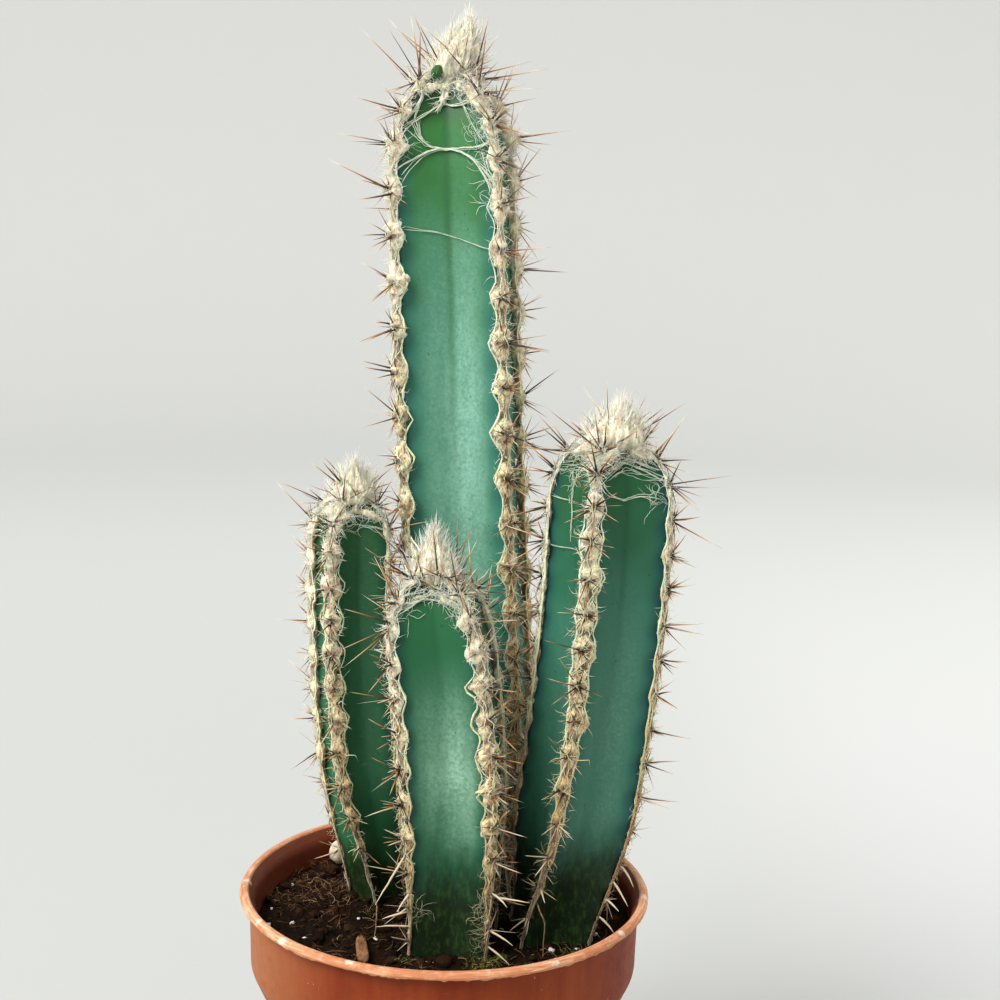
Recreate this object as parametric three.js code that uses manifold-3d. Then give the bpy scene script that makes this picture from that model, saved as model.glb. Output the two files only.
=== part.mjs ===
import * as THREE from 'three';
import { mergeVertices } from 'three/addons/utils/BufferGeometryUtils.js';
import Module from 'manifold-3d';

// A potted clump of four columnar cactus stems. Millimetres, +Z up.
// The origin is the middle of the pot's flat base. The viewer stands on the -Y side.

const potHeight = 92;
const lipRadius = 52.5;
const lipWidth = 2.9;
const lipDrop = 3.2;
const wallThickness = 1.6;
const collarTopRadius = 49.9;
const collarBottomRadius = 49.6;
const collarBottom = 72;
const shoulderRadius = 46;
const shoulderBottom = 64;
const baseRadius = 37.5;
const floorThickness = 2.2;
const potSegments = 56;

const soilLevel = 82;
const soilGap = 0.4;
const soilSegments = 40;
const soilRings = 9;
const seatGap = 0.3;
const plantDepth = 14;
const holeGap = 0.35;

const ribCount = 4;
const ribRounding = THREE.MathUtils.degToRad(4);
const sectionAngles = [0, 8, 26, 45, 64, 82].map(THREE.MathUtils.degToRad);

// Each stem: where its axis meets the soil and ends, the sideways bow of the axis, the radius over the
// rib edges, how deep the valleys are, the way its first rib faces and how far the foot is twisted,
// the foot's share of the radius and the height it swells over, the height of the rounded top,
// the distance between areoles, and the shape of the wool tuft on the top.
const stems = {
  tall: {
    base: [10.4, 20.9], top: [-3.5, 31, 297], bow: [-1.3, 0], radius: 18.1, valley: 0.53,
    firstRib: -52.8, footTwist: 0, footShare: 0.55, swell: 60, dome: 31, bodyRows: 16, domeRows: 6,
    areoleStep: 11, cushion: 1.9, spine: 12.5,
    tuft: { radius: 6.2, height: 11.5, sink: 6, lean: [4.5, 0] },
  },
  left: {
    base: [-18.1, 14.1], top: [-26.1, 12.6, 191], bow: [-2.8, 0], radius: 10.8, valley: 0.53,
    firstRib: -112.2, footTwist: 22, footShare: 0.66, swell: 38, dome: 14, bodyRows: 9, domeRows: 5,
    areoleStep: 8.6, cushion: 1.5, spine: 9,
    tuft: { radius: 7.2, height: 7.5, sink: 6, lean: [-1, 0] },
  },
  front: {
    base: [2.7, -13.4], top: [-4.4, -11.5, 176.8], bow: [2.5, 0], radius: 15.1, valley: 0.53,
    firstRib: -51.2, footTwist: 0, footShare: 0.87, swell: 44, dome: 20, bodyRows: 9, domeRows: 5,
    areoleStep: 8.6, cushion: 1.8, spine: 11,
    tuft: { radius: 9.5, height: 9, sink: 8, lean: [-1, 0] },
  },
  right: {
    base: [27.2, -5.7], top: [38.7, -3.5, 210.5], bow: [3.2, -1], radius: 15.4, valley: 0.52,
    firstRib: -108.4, footTwist: -18, footShare: 0.8, swell: 35, dome: 20, bodyRows: 11, domeRows: 5,
    areoleStep: 8.6, cushion: 1.9, spine: 11,
    tuft: { radius: 9.2, height: 7.5, sink: 7, lean: [1, 0] },
  },
};

const domePower = 2.4;
const woolGap = 0.55;
const woolStart = 3.5;
const cushionHeight = 1.35;
const neckWidthShare = 0.6;
const neckHeight = 0.75;
const ribEdgeSlope = 1.05;
const spineRadius = 0.42;
const spinesPerAreole = [2, 2, 1];
const rootDepth = 0.6;
const rootOffset = 0.9;
const tuftSpines = 12;
const spineClearance = 0.45;

const pebbleCentre = new THREE.Vector3(-30, 31.5, 86.3);
const pebbleSize = new THREE.Vector3(2.5, 2.3, 2.9);
const chipCentre = new THREE.Vector2(-19.5, -23);
const chipSize = new THREE.Vector3(3.2, 8, 1.3);
const chipSlope = THREE.MathUtils.degToRad(22);
const chipTurn = THREE.MathUtils.degToRad(12);

const wasm = await Module();
wasm.setup();

function toSolid(geometry) {
  const bare = geometry.clone();
  bare.deleteAttribute('normal');
  bare.deleteAttribute('uv');
  const merged = mergeVertices(bare, 1e-4);
  return new wasm.Manifold(new wasm.Mesh({
    numProp: 3,
    vertProperties: new Float32Array(merged.attributes.position.array),
    triVerts: new Uint32Array(merged.index.array),
  }));
}

function toGeometry(solid) {
  const mesh = solid.getMesh();
  const geometry = new THREE.BufferGeometry();
  geometry.setAttribute('position', new THREE.BufferAttribute(mesh.vertProperties, 3));
  geometry.setIndex(new THREE.BufferAttribute(mesh.triVerts, 1));
  return geometry;
}

// A closed body through rings of equal length, listed from the bottom up, each seen counter-clockwise
// from above, with a fan from a middle point over the first and the last ring.
function loft(rings, bottomPoint, topPoint) {
  const count = rings[0].length;
  const points = [...rings.flat(), bottomPoint, topPoint];
  const bottom = rings.length * count;
  const top = bottom + 1;
  const last = (rings.length - 1) * count;
  const faces = [];
  for (let i = 0; i < count; i++) {
    const next = (i + 1) % count;
    faces.push(bottom, next, i, top, last + i, last + next);
    for (let r = 0; r < rings.length - 1; r++) {
      const a = r * count + i;
      const b = r * count + next;
      faces.push(a, b, b + count, a, b + count, a + count);
    }
  }
  const geometry = new THREE.BufferGeometry().setFromPoints(points);
  geometry.setIndex(faces);
  return geometry;
}

function seededRandom(seed) {
  let state = seed;
  return () => {
    state = (state * 1664525 + 1013904223) % 4294967296;
    return state / 4294967296;
  };
}

// The stems' common form.

function axisAt(stem, z) {
  const share = THREE.MathUtils.clamp((z - soilLevel) / (stem.top[2] - soilLevel), 0, 1);
  const bow = 4 * share * (1 - share);
  return new THREE.Vector3(
    THREE.MathUtils.lerp(stem.base[0], stem.top[0], share) + stem.bow[0] * bow,
    THREE.MathUtils.lerp(stem.base[1], stem.top[1], share) + stem.bow[1] * bow,
    z,
  );
}

function swellAt(stem, z) {
  return THREE.MathUtils.smoothstep(z, soilLevel, soilLevel + stem.swell);
}

function radiusAt(stem, z) {
  const domeShare = THREE.MathUtils.clamp((z - stem.top[2] + stem.dome) / stem.dome, 0, 1);
  const swollen = THREE.MathUtils.lerp(stem.footShare, 1, swellAt(stem, z));
  return stem.radius * swollen * Math.sqrt(1 - domeShare ** domePower);
}

function ribAngle(stem, rib, z) {
  const twist = stem.footTwist * (1 - swellAt(stem, z));
  return THREE.MathUtils.degToRad(stem.firstRib + twist) + rib * (2 * Math.PI / ribCount);
}

// An angle of 0 faces the viewer, and it grows towards +X.
function outward(angle) {
  return new THREE.Vector3(Math.sin(angle), -Math.cos(angle), 0);
}

// The section's radius as a share of the radius over the ribs, for an angle from a rib's edge.
function sectionShare(stem, angle) {
  const eased = Math.hypot(angle, ribRounding) - ribRounding;
  const side = stem.valley * Math.SQRT1_2;
  return side / ((1 - side) * Math.sin(eased) + side * Math.cos(eased));
}

// The outline pushed outwards by a distance, corner by corner.
function grown(outline, distance) {
  return outline.map((point, i) => {
    const before = outline[(i + outline.length - 1) % outline.length];
    const after = outline[(i + 1) % outline.length];
    const first = new THREE.Vector3(point.y - before.y, before.x - point.x, 0).normalize();
    const second = new THREE.Vector3(after.y - point.y, point.x - after.x, 0).normalize();
    const normal = first.add(second);
    return point.clone().addScaledVector(normal, 2 * distance / normal.lengthSq());
  });
}

function sectionAt(stem, z, distance = 0) {
  const centre = axisAt(stem, z);
  const outline = [];
  for (let rib = 0; rib < ribCount; rib++) {
    for (const angle of sectionAngles) {
      const fromEdge = Math.min(angle, Math.PI / 2 - angle);
      const radius = radiusAt(stem, z) * sectionShare(stem, fromEdge);
      outline.push(outward(ribAngle(stem, rib, z) + angle).multiplyScalar(radius).add(centre));
    }
  }
  return distance > 0 ? grown(outline, distance) : outline;
}

function stemHeights(stem) {
  const domeFoot = stem.top[2] - stem.dome;
  const heights = [soilLevel - plantDepth];
  for (let i = 0; i <= stem.bodyRows; i++) {
    heights.push(THREE.MathUtils.lerp(soilLevel, domeFoot, i / stem.bodyRows));
  }
  for (let i = 1; i <= stem.domeRows; i++) {
    heights.push(domeFoot + stem.dome * Math.sin(i / (stem.domeRows + 0.6) * Math.PI / 2));
  }
  return heights;
}

// With a distance above 0 this is the stem's shape grown by about that much all round.
function stemGeometry(stem, distance = 0) {
  const rings = stemHeights(stem).map((z, i) => {
    const section = sectionAt(stem, z, distance);
    const domeShare = THREE.MathUtils.clamp((z - stem.top[2] + stem.dome) / stem.dome, 0, 1);
    const lift = i === 0 ? -distance : 1.4 * distance * domeShare ** 2;
    return section.map((point) => point.setZ(z + lift));
  });
  const foot = axisAt(stem, soilLevel - plantDepth - distance);
  const tip = new THREE.Vector3(...stem.top);
  tip.z += 1.4 * distance;
  return loft(rings, foot, tip);
}

// The pot: one turned profile, from the axis to the axis.

function potGeometry() {
  const lipInner = lipRadius - lipWidth;
  const profile = [
    [0, 0],
    [baseRadius, 0],
    [shoulderRadius, shoulderBottom],
    [collarBottomRadius, collarBottom],
    [collarTopRadius, potHeight - lipDrop],
    [lipRadius - 0.3, potHeight - lipDrop + 0.3],
    [lipRadius, potHeight - 1.2],
    [lipRadius - 0.8, potHeight],
    [lipInner + 0.5, potHeight],
    [lipInner, potHeight - 0.8],
    [collarTopRadius - wallThickness, potHeight - lipDrop - 1.5],
    [collarBottomRadius - wallThickness, collarBottom],
    [shoulderRadius - wallThickness, shoulderBottom],
    [baseRadius - wallThickness, floorThickness],
    [0, floorThickness],
  ].map(([radius, z]) => new THREE.Vector2(radius, z));
  return new THREE.LatheGeometry(profile, potSegments).rotateX(Math.PI / 2);
}

// The soil: a low rough surface over a plug that follows the pot's inner wall.

function chipFrame() {
  const middle = soilLevel + 0.6;
  const normal = new THREE.Vector3(0, -Math.sin(chipSlope), Math.cos(chipSlope));
  normal.applyAxisAngle(new THREE.Vector3(0, 0, 1), chipTurn);
  return { middle: new THREE.Vector3(chipCentre.x, chipCentre.y, middle), normal };
}

function soilHeight(x, y) {
  const ripples = 0.45 * Math.sin(x * 0.31 + 1.3) * Math.cos(y * 0.27 - 0.4)
    + 0.3 * Math.sin(x * 0.83 - y * 0.61) + 0.2 * Math.cos(x * 0.47 + y * 1.07 + 2);
  const radius = Math.hypot(x, y);
  const nearStems = Object.values(stems).some((stem) => (
    Math.hypot(x - stem.base[0], y - stem.base[1]) < stem.radius * stem.footShare + 3));
  const level = soilLevel - 0.5 + (nearStems ? 0.4 : 1) * ripples + 0.0004 * radius * radius;

  const fromPebble = Math.hypot(x - pebbleCentre.x, y - pebbleCentre.y);
  const pebbleSeat = pebbleCentre.z - pebbleSize.z - seatGap;
  const raised = THREE.MathUtils.lerp(pebbleSeat, level, THREE.MathUtils.smoothstep(fromPebble, 3.5, 9));

  const { middle, normal } = chipFrame();
  const fromChip = Math.hypot(x - middle.x, y - middle.y);
  const plane = middle.z - (normal.x * (x - middle.x) + normal.y * (y - middle.y)) / normal.z;
  return THREE.MathUtils.lerp(plane, raised, THREE.MathUtils.smoothstep(fromChip, 5, 8.5));
}

function soilGeometry() {
  const ring = (radius, height) => {
    const points = [];
    for (let i = 0; i < soilSegments; i++) {
      const angle = i / soilSegments * 2 * Math.PI;
      const x = radius * Math.cos(angle);
      const y = radius * Math.sin(angle);
      points.push(new THREE.Vector3(x, y, height ?? soilHeight(x, y)));
    }
    return points;
  };
  const inset = wallThickness + soilGap;
  const rings = [
    ring(baseRadius - inset, floorThickness + seatGap),
    ring(shoulderRadius - inset, shoulderBottom),
    ring(collarBottomRadius - inset, collarBottom),
  ];
  for (let i = soilRings; i > 0; i--) {
    rings.push(ring((collarTopRadius - inset) * i / soilRings));
  }
  const bottom = new THREE.Vector3(0, 0, floorThickness + seatGap);
  return loft(rings, bottom, new THREE.Vector3(0, 0, soilHeight(0, 0)));
}

function holeGeometry(stem) {
  const outline = sectionAt(stem, soilLevel, holeGap);
  const bottom = soilLevel - plantDepth - seatGap;
  const top = soilLevel + 6;
  const centre = axisAt(stem, soilLevel);
  return loft(
    [bottom, top].map((z) => outline.map((point) => point.clone().setZ(z))),
    centre.clone().setZ(bottom),
    centre.clone().setZ(top),
  );
}

function soilWithHoles() {
  let soil = toSolid(soilGeometry());
  for (const stem of Object.values(stems)) {
    soil = soil.subtract(toSolid(holeGeometry(stem)));
  }
  return toGeometry(soil);
}

function pebbleGeometry() {
  const pebble = new THREE.IcosahedronGeometry(1, 1);
  pebble.scale(pebbleSize.x, pebbleSize.y, pebbleSize.z);
  return pebble.translate(pebbleCentre.x, pebbleCentre.y, pebbleCentre.z);
}

function chipGeometry() {
  const { x: width, y: length, z: thickness } = chipSize;
  const outline = new THREE.Shape([
    new THREE.Vector2(-0.5 * width, -0.42 * length),
    new THREE.Vector2(0.1 * width, -0.5 * length),
    new THREE.Vector2(0.5 * width, -0.3 * length),
    new THREE.Vector2(0.42 * width, 0.32 * length),
    new THREE.Vector2(0.05 * width, 0.5 * length),
    new THREE.Vector2(-0.46 * width, 0.3 * length),
  ]);
  const chip = new THREE.ExtrudeGeometry(outline, { depth: thickness, bevelEnabled: false });
  const { middle } = chipFrame();
  chip.translate(0, 0, 2 * seatGap).rotateX(chipSlope).rotateZ(chipTurn);
  return chip.translate(middle.x, middle.y, middle.z);
}

// The wool: a scalloped band along each rib's edge, wide at the areoles.

function ribEdgePoint(stem, rib, z) {
  return outward(ribAngle(stem, rib, z)).multiplyScalar(radiusAt(stem, z)).add(axisAt(stem, z));
}

// Places along a rib's edge at even steps of its length, closer over the rounded top, areoles and
// the necks between them by turns. Each has its point, and the ways along, out of and across the rib.
function placesAlongRib(stem, rib) {
  const samples = [];
  const fineSteps = 600;
  for (let i = 0; i <= fineSteps; i++) {
    const share = i / fineSteps;
    const eased = 1 - (1 - share) ** 2;
    const z = THREE.MathUtils.lerp(soilLevel + woolStart, stem.top[2] - 0.02, eased);
    samples.push(ribEdgePoint(stem, rib, z));
  }
  const half = stem.areoleStep / 2;
  const places = [];
  let travelled = 0;
  let due = 0;
  for (let i = 1; i < samples.length - 1; i++) {
    travelled += samples[i].distanceTo(samples[i - 1]);
    if (travelled < due) continue;
    const point = samples[i];
    const along = samples[i + 1].clone().sub(samples[i - 1]).normalize();
    const axis = axisAt(stem, point.z);
    const out = point.clone().sub(axis).setZ(0).normalize();
    out.addScaledVector(along, -out.dot(along)).normalize();
    const across = new THREE.Vector3().crossVectors(along, out);
    const isAreole = (places.length + rib) % 2 === 0;
    places.push({ point, along, out, across, isAreole });
    const fromTip = Math.hypot(point.x - stem.top[0], point.y - stem.top[1]);
    if (point.z > stem.top[2] - 3 && fromTip < stem.tuft.radius * 0.75) break;
    const inDome = point.z > stem.top[2] - stem.dome * 0.7;
    due = travelled + half * (inDome ? 0.75 : 1);
  }
  return places;
}

function woolRing(stem, place) {
  const half = stem.cushion * (place.isAreole ? 1 : neckWidthShare);
  const height = place.isAreole ? cushionHeight : neckHeight;
  const at = (across, out) => place.point.clone()
    .addScaledVector(place.across, across)
    .addScaledVector(place.out, woolGap + out);
  const sideDrop = (ribEdgeSlope * half - 0.05) * (1 - 0.65 * Math.max(place.out.z, 0));
  return [
    at(0, 0),
    at(-half, -sideDrop),
    at(-half * 0.55, height),
    at(half * 0.55, height),
    at(half, -sideDrop),
  ];
}

function woolBand(stem, places) {
  const rings = places.map((place) => woolRing(stem, place));
  const middleOf = (ring) => ring.reduce((sum, p) => sum.add(p), new THREE.Vector3())
    .divideScalar(ring.length);
  const first = rings[0];
  const last = rings[rings.length - 1];
  const startPoint = first[0].clone().lerp(middleOf(first.slice(2, 4)), 0.5);
  const endPoint = last[0].clone().lerp(middleOf(last.slice(2, 4)), 0.5);
  return loft(rings, startPoint, endPoint);
}

function tuftGeometry(stem) {
  const { radius, height, sink, lean } = stem.tuft;
  const tuft = new THREE.IcosahedronGeometry(1, 1);
  const position = tuft.attributes.position;
  for (let i = 0; i < position.count; i++) {
    const z = position.getZ(i);
    const share = (z + 1) / 2;
    const narrowing = 1 - 0.35 * share;
    position.setXYZ(
      i,
      stem.top[0] + position.getX(i) * radius * narrowing + lean[0] * share * share,
      stem.top[1] + position.getY(i) * radius * narrowing + lean[1] * share * share,
      stem.top[2] - sink + (height + sink) * share,
    );
  }
  return tuft;
}

// The spines: three-sided needles rooted in the cushions and the tuft.

function needle(root, direction, length) {
  const cone = new THREE.ConeGeometry(spineRadius, length, 3).translate(0, length / 2, 0);
  const turn = new THREE.Quaternion().setFromUnitVectors(new THREE.Vector3(0, 1, 0), direction);
  return cone.applyQuaternion(turn).translate(root.x, root.y, root.z);
}

// True where a point keeps clear of the soil, the pot and the other stems: nearer to this stem's
// ribs than to any other's.
function isClear(point, stem) {
  const potInner = collarTopRadius - wallThickness - 1;
  if (point.z < soilLevel + 1.5) return false;
  if (point.z < potHeight + 1 && Math.hypot(point.x, point.y) > potInner) return false;
  const ownGap = point.distanceTo(axisAt(stem, point.z)) - radiusAt(stem, point.z);
  return Object.values(stems).every((other) => {
    if (other === stem || point.z > other.top[2] + 25) return true;
    const height = Math.min(point.z, other.top[2] - other.dome * 0.5);
    const otherGap = point.distanceTo(axisAt(other, height)) - radiusAt(other, height);
    return otherGap - ownGap > 2 * spineClearance;
  });
}

function clearLength(root, direction, length, stem) {
  const steps = 12;
  for (let i = 1; i <= steps; i++) {
    const reach = length * i / steps;
    if (!isClear(root.clone().addScaledVector(direction, reach), stem)) {
      return length * (i - 1) / steps - 0.5;
    }
  }
  return length;
}

function areoleSpines(stem, places, rib, random) {
  const needles = [];
  const goldenTurn = Math.PI * (3 - Math.sqrt(5));
  places.forEach((place, i) => {
    if (!place.isAreole) return;
    const count = spinesPerAreole[(Math.floor(i / 2) + rib) % spinesPerAreole.length];
    for (let k = 0; k < count; k++) {
      const root = place.point.clone()
        .addScaledVector(place.out, woolGap + cushionHeight - rootDepth)
        .addScaledVector(place.along, k % 2 ? rootOffset : -rootOffset);
      for (let attempt = 0; attempt < 4; attempt++) {
        const turn = (i * 1.7 + k * 2.6 + rib + attempt) * goldenTurn;
        const tilt = THREE.MathUtils.degToRad(24 + 38 * random());
        const length = stem.spine * (0.75 + 0.5 * random());
        const direction = place.out.clone().multiplyScalar(Math.cos(tilt))
          .addScaledVector(place.across, Math.sin(tilt) * Math.cos(turn))
          .addScaledVector(place.along, Math.sin(tilt) * Math.sin(turn));
        const reach = clearLength(root, direction, length, stem);
        if (reach > 0.7 * length || (attempt === 3 && reach > 3.5)) {
          needles.push(needle(root, direction, reach));
          break;
        }
      }
    }
  });
  return needles;
}

function crownSpines(stem, random) {
  const { radius, height, lean } = stem.tuft;
  const needles = [];
  for (let i = 0; i < tuftSpines; i++) {
    const share = (i + 0.5) / tuftSpines;
    const turn = i * Math.PI * (3 - Math.sqrt(5));
    const tilt = THREE.MathUtils.degToRad(8 + 62 * share);
    const direction = outward(turn).multiplyScalar(Math.sin(tilt)).setZ(Math.cos(tilt));
    const root = new THREE.Vector3(
      stem.top[0] + 0.35 * lean[0] + direction.x * radius * 0.35,
      stem.top[1] + direction.y * radius * 0.35,
      stem.top[2] + height * 0.25 * (1 - 0.6 * share),
    );
    const length = stem.spine * (0.9 + 0.45 * random()) + radius * 0.4;
    const reach = clearLength(root, direction, length, stem);
    if (reach > 5) needles.push(needle(root, direction, reach));
  }
  return needles;
}

function woolGeometry(stem, seed) {
  const random = seededRandom(seed);
  const pieces = [];
  for (let rib = 0; rib < ribCount; rib++) {
    const places = placesAlongRib(stem, rib);
    pieces.push(woolBand(stem, places), ...areoleSpines(stem, places, rib, random));
  }
  pieces.push(...crownSpines(stem, random));
  const tuft = toSolid(tuftGeometry(stem)).subtract(toSolid(stemGeometry(stem, seatGap)));
  const bodies = wasm.Manifold.union([tuft, ...pieces.map(toSolid)]).decompose();
  bodies.sort((a, b) => b.volume() - a.volume());
  return toGeometry(bodies[0]);
}

const materials = {
  terracotta: new THREE.MeshStandardMaterial({ color: 0xb4603a, roughness: 0.55, metalness: 0 }),
  peat: new THREE.MeshStandardMaterial({ color: 0x2c2119, roughness: 1, metalness: 0 }),
  beigeStone: new THREE.MeshStandardMaterial({ color: 0xcdbfa2, roughness: 0.85, metalness: 0 }),
  bark: new THREE.MeshStandardMaterial({ color: 0x8a6a4a, roughness: 0.9, metalness: 0 }),
  skin: {
    tall: new THREE.MeshStandardMaterial({ color: 0x5f9b80, roughness: 0.6, metalness: 0 }),
    left: new THREE.MeshStandardMaterial({ color: 0x3f7358, roughness: 0.6, metalness: 0 }),
    front: new THREE.MeshStandardMaterial({ color: 0x4f8a6c, roughness: 0.6, metalness: 0 }),
    right: new THREE.MeshStandardMaterial({ color: 0x3f7560, roughness: 0.6, metalness: 0 }),
  },
  wool: new THREE.MeshStandardMaterial({ color: 0xddcfae, roughness: 1, metalness: 0 }),
};

const group = new THREE.Group();

function addMesh(name, geometry, material) {
  const mesh = new THREE.Mesh(geometry, material);
  mesh.name = name;
  group.add(mesh);
}

addMesh('pot', potGeometry(), materials.terracotta);
addMesh('soil', soilWithHoles(), materials.peat);
addMesh('pebble', pebbleGeometry(), materials.beigeStone);
addMesh('bark_chip', chipGeometry(), materials.bark);
Object.entries(stems).forEach(([name, stem], i) => {
  addMesh(`stem_${name}`, stemGeometry(stem), materials.skin[name]);
  addMesh(`wool_${name}`, woolGeometry(stem, 11 + 7 * i), materials.wool);
});

export default group;
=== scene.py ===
import math
import random

import bmesh
import bpy
import numpy as np
from mathutils import Matrix, Vector, noise


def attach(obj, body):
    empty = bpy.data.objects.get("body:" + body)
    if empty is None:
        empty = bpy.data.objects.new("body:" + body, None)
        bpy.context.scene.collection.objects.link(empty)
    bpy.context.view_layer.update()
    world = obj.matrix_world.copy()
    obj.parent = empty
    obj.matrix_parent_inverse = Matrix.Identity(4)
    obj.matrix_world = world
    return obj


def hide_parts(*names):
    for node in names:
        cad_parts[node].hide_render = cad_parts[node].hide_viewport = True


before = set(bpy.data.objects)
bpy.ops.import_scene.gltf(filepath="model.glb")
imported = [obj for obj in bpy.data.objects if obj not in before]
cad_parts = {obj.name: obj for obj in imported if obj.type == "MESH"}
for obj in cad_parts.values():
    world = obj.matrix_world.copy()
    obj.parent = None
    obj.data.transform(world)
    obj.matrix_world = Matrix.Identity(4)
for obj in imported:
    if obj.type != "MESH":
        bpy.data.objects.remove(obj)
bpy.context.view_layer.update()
print("cactus: the packed model is loaded")

# A potted clump of four woolly columnar stems. Lengths in the settings are millimetres,
# angles are degrees, and colours are the red, green and blue of a screen from 0 to 255.
mm = 0.001
up = Vector((0, 0, 1))
fullTurn = 2 * math.pi
units = {"length": lambda value: value * mm, "angle": math.radians,
         "density": lambda value: value / mm ** 2, "bend": lambda value: value / mm}


def clamp(value, low=0.0, high=1.0):
    return max(low, min(high, value))


def lerp(first, second, share):
    return first + (second - first) * share


def smoothstep(value, low, high):
    share = clamp((value - low) / (high - low))
    return share * share * (3 - 2 * share)


def tint(red, green, blue, level=0.84):
    # the lamps are set for white wool, and the level keeps every other colour down to match
    def linear(value):
        value /= 255
        return level * (value / 12.92 if value < 0.04045 else ((value + 0.055) / 1.055) ** 2.4)
    return (linear(red), linear(green), linear(blue), 1.0)


def pale(red, green, blue):
    return tint(red, green, blue, 1.0)


def colour(value):
    # three numbers are a screen colour, and anything else is ready for a node
    return tint(*value) if isinstance(value, tuple) and len(value) == 3 else value


# Nodes: a Wire is a node's output, and sums of wires make the math nodes.

class Wire:
    def __init__(self, socket):
        self.socket = socket
        self.tree = socket.id_data


signs = {"add": "ADD", "sub": "SUBTRACT", "mul": "MULTIPLY", "truediv": "DIVIDE", "pow": "POWER"}
for sign, task in signs.items():
    setattr(Wire, f"__{sign}__", lambda self, other, task=task: combine(task, self, other))
    setattr(Wire, f"__r{sign}__", lambda self, other, task=task: combine(task, other, self))


def isVector(value):
    if isinstance(value, Wire):
        return value.socket.type in ("VECTOR", "RGBA")
    return hasattr(value, "__len__")


def treeOf(values):
    return next(value.tree for value in values if isinstance(value, Wire))


def addNode(tree, kind, inputs=None, output=0, **settings):
    node = tree.nodes.new(kind)
    for label, value in settings.items():
        setattr(node, label, value)
    free = [socket for socket in node.inputs if socket.enabled]
    for key, value in (inputs or {}).items():
        target = free[key] if isinstance(key, int) else next(s for s in free if s.name == key)
        if isinstance(value, Wire):
            tree.links.new(value.socket, target)
        else:
            target.default_value = value
    shown = [socket for socket in node.outputs if socket.enabled]
    if isinstance(output, int):
        return Wire(shown[output])
    return Wire(next(socket for socket in shown if socket.name == output))


def otherOutput(wire, name):
    return Wire(wire.socket.node.outputs[name])


def mathNode(operation, *values, **settings):
    settings["operation"] = operation
    return addNode(treeOf(values), "ShaderNodeMath", dict(enumerate(values)), **settings)


def vectorNode(operation, *values):
    return addNode(treeOf(values), "ShaderNodeVectorMath", dict(enumerate(values)), operation=operation)


def combine(operation, first, second):
    vectors = isVector(first), isVector(second)
    if not any(vectors):
        return mathNode(operation, first, second)
    if operation == "MULTIPLY" and not all(vectors):
        return vectorNode("SCALE", *((first, second) if vectors[0] else (second, first)))
    return vectorNode(operation, first, second)


def remap(value, low, high, toLow=0.0, toHigh=1.0, shape="SMOOTHSTEP"):
    inputs = {"Value": value, "From Min": low, "From Max": high, "To Min": toLow, "To Max": toHigh}
    return addNode(value.tree, "ShaderNodeMapRange", inputs, interpolation_type=shape)


def limit(value):
    return mathNode("ADD", value, 0.0, use_clamp=True)


def axisOf(place, axis):
    return addNode(place.tree, "ShaderNodeSeparateXYZ", {"Vector": place}, output=axis)


def combined(**axes):
    return addNode(treeOf(axes.values()), "ShaderNodeCombineXYZ", axes)


def levelled(place):
    # the place with its height taken out
    return vectorNode("MULTIPLY", place, (1.0, 1.0, 0.0))


def noiseNode(place, size, detail=3.0, roughness=0.55):
    inputs = {"Vector": place, "Scale": 1 / (size * mm), "Detail": detail, "Roughness": roughness}
    return addNode(place.tree, "ShaderNodeTexNoise", inputs)


def wanderNode(place, size):
    # an even push of up to half a unit, any way
    inputs = {"Vector": place, "Scale": 1 / (size * mm)}
    return vectorNode("SUBTRACT", addNode(place.tree, "ShaderNodeTexNoise", inputs, output="Color"),
                      (0.5, 0.5, 0.5))


def cellNode(place, size):
    # how far it is to the middle of the nearest cell, in cells
    inputs = {"Vector": place + wanderNode(place, size * 1.3) * (size * mm), "Scale": 1 / (size * mm)}
    return addNode(place.tree, "ShaderNodeTexVoronoi", inputs, output="Distance")


class Nodes:
    def add(self, kind, inputs=None, output=0, **settings):
        return addNode(self.tree, kind, inputs, output, **settings)


# Geometry Nodes: each recipe is a tree with named inputs, run once to make a plain mesh.

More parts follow.
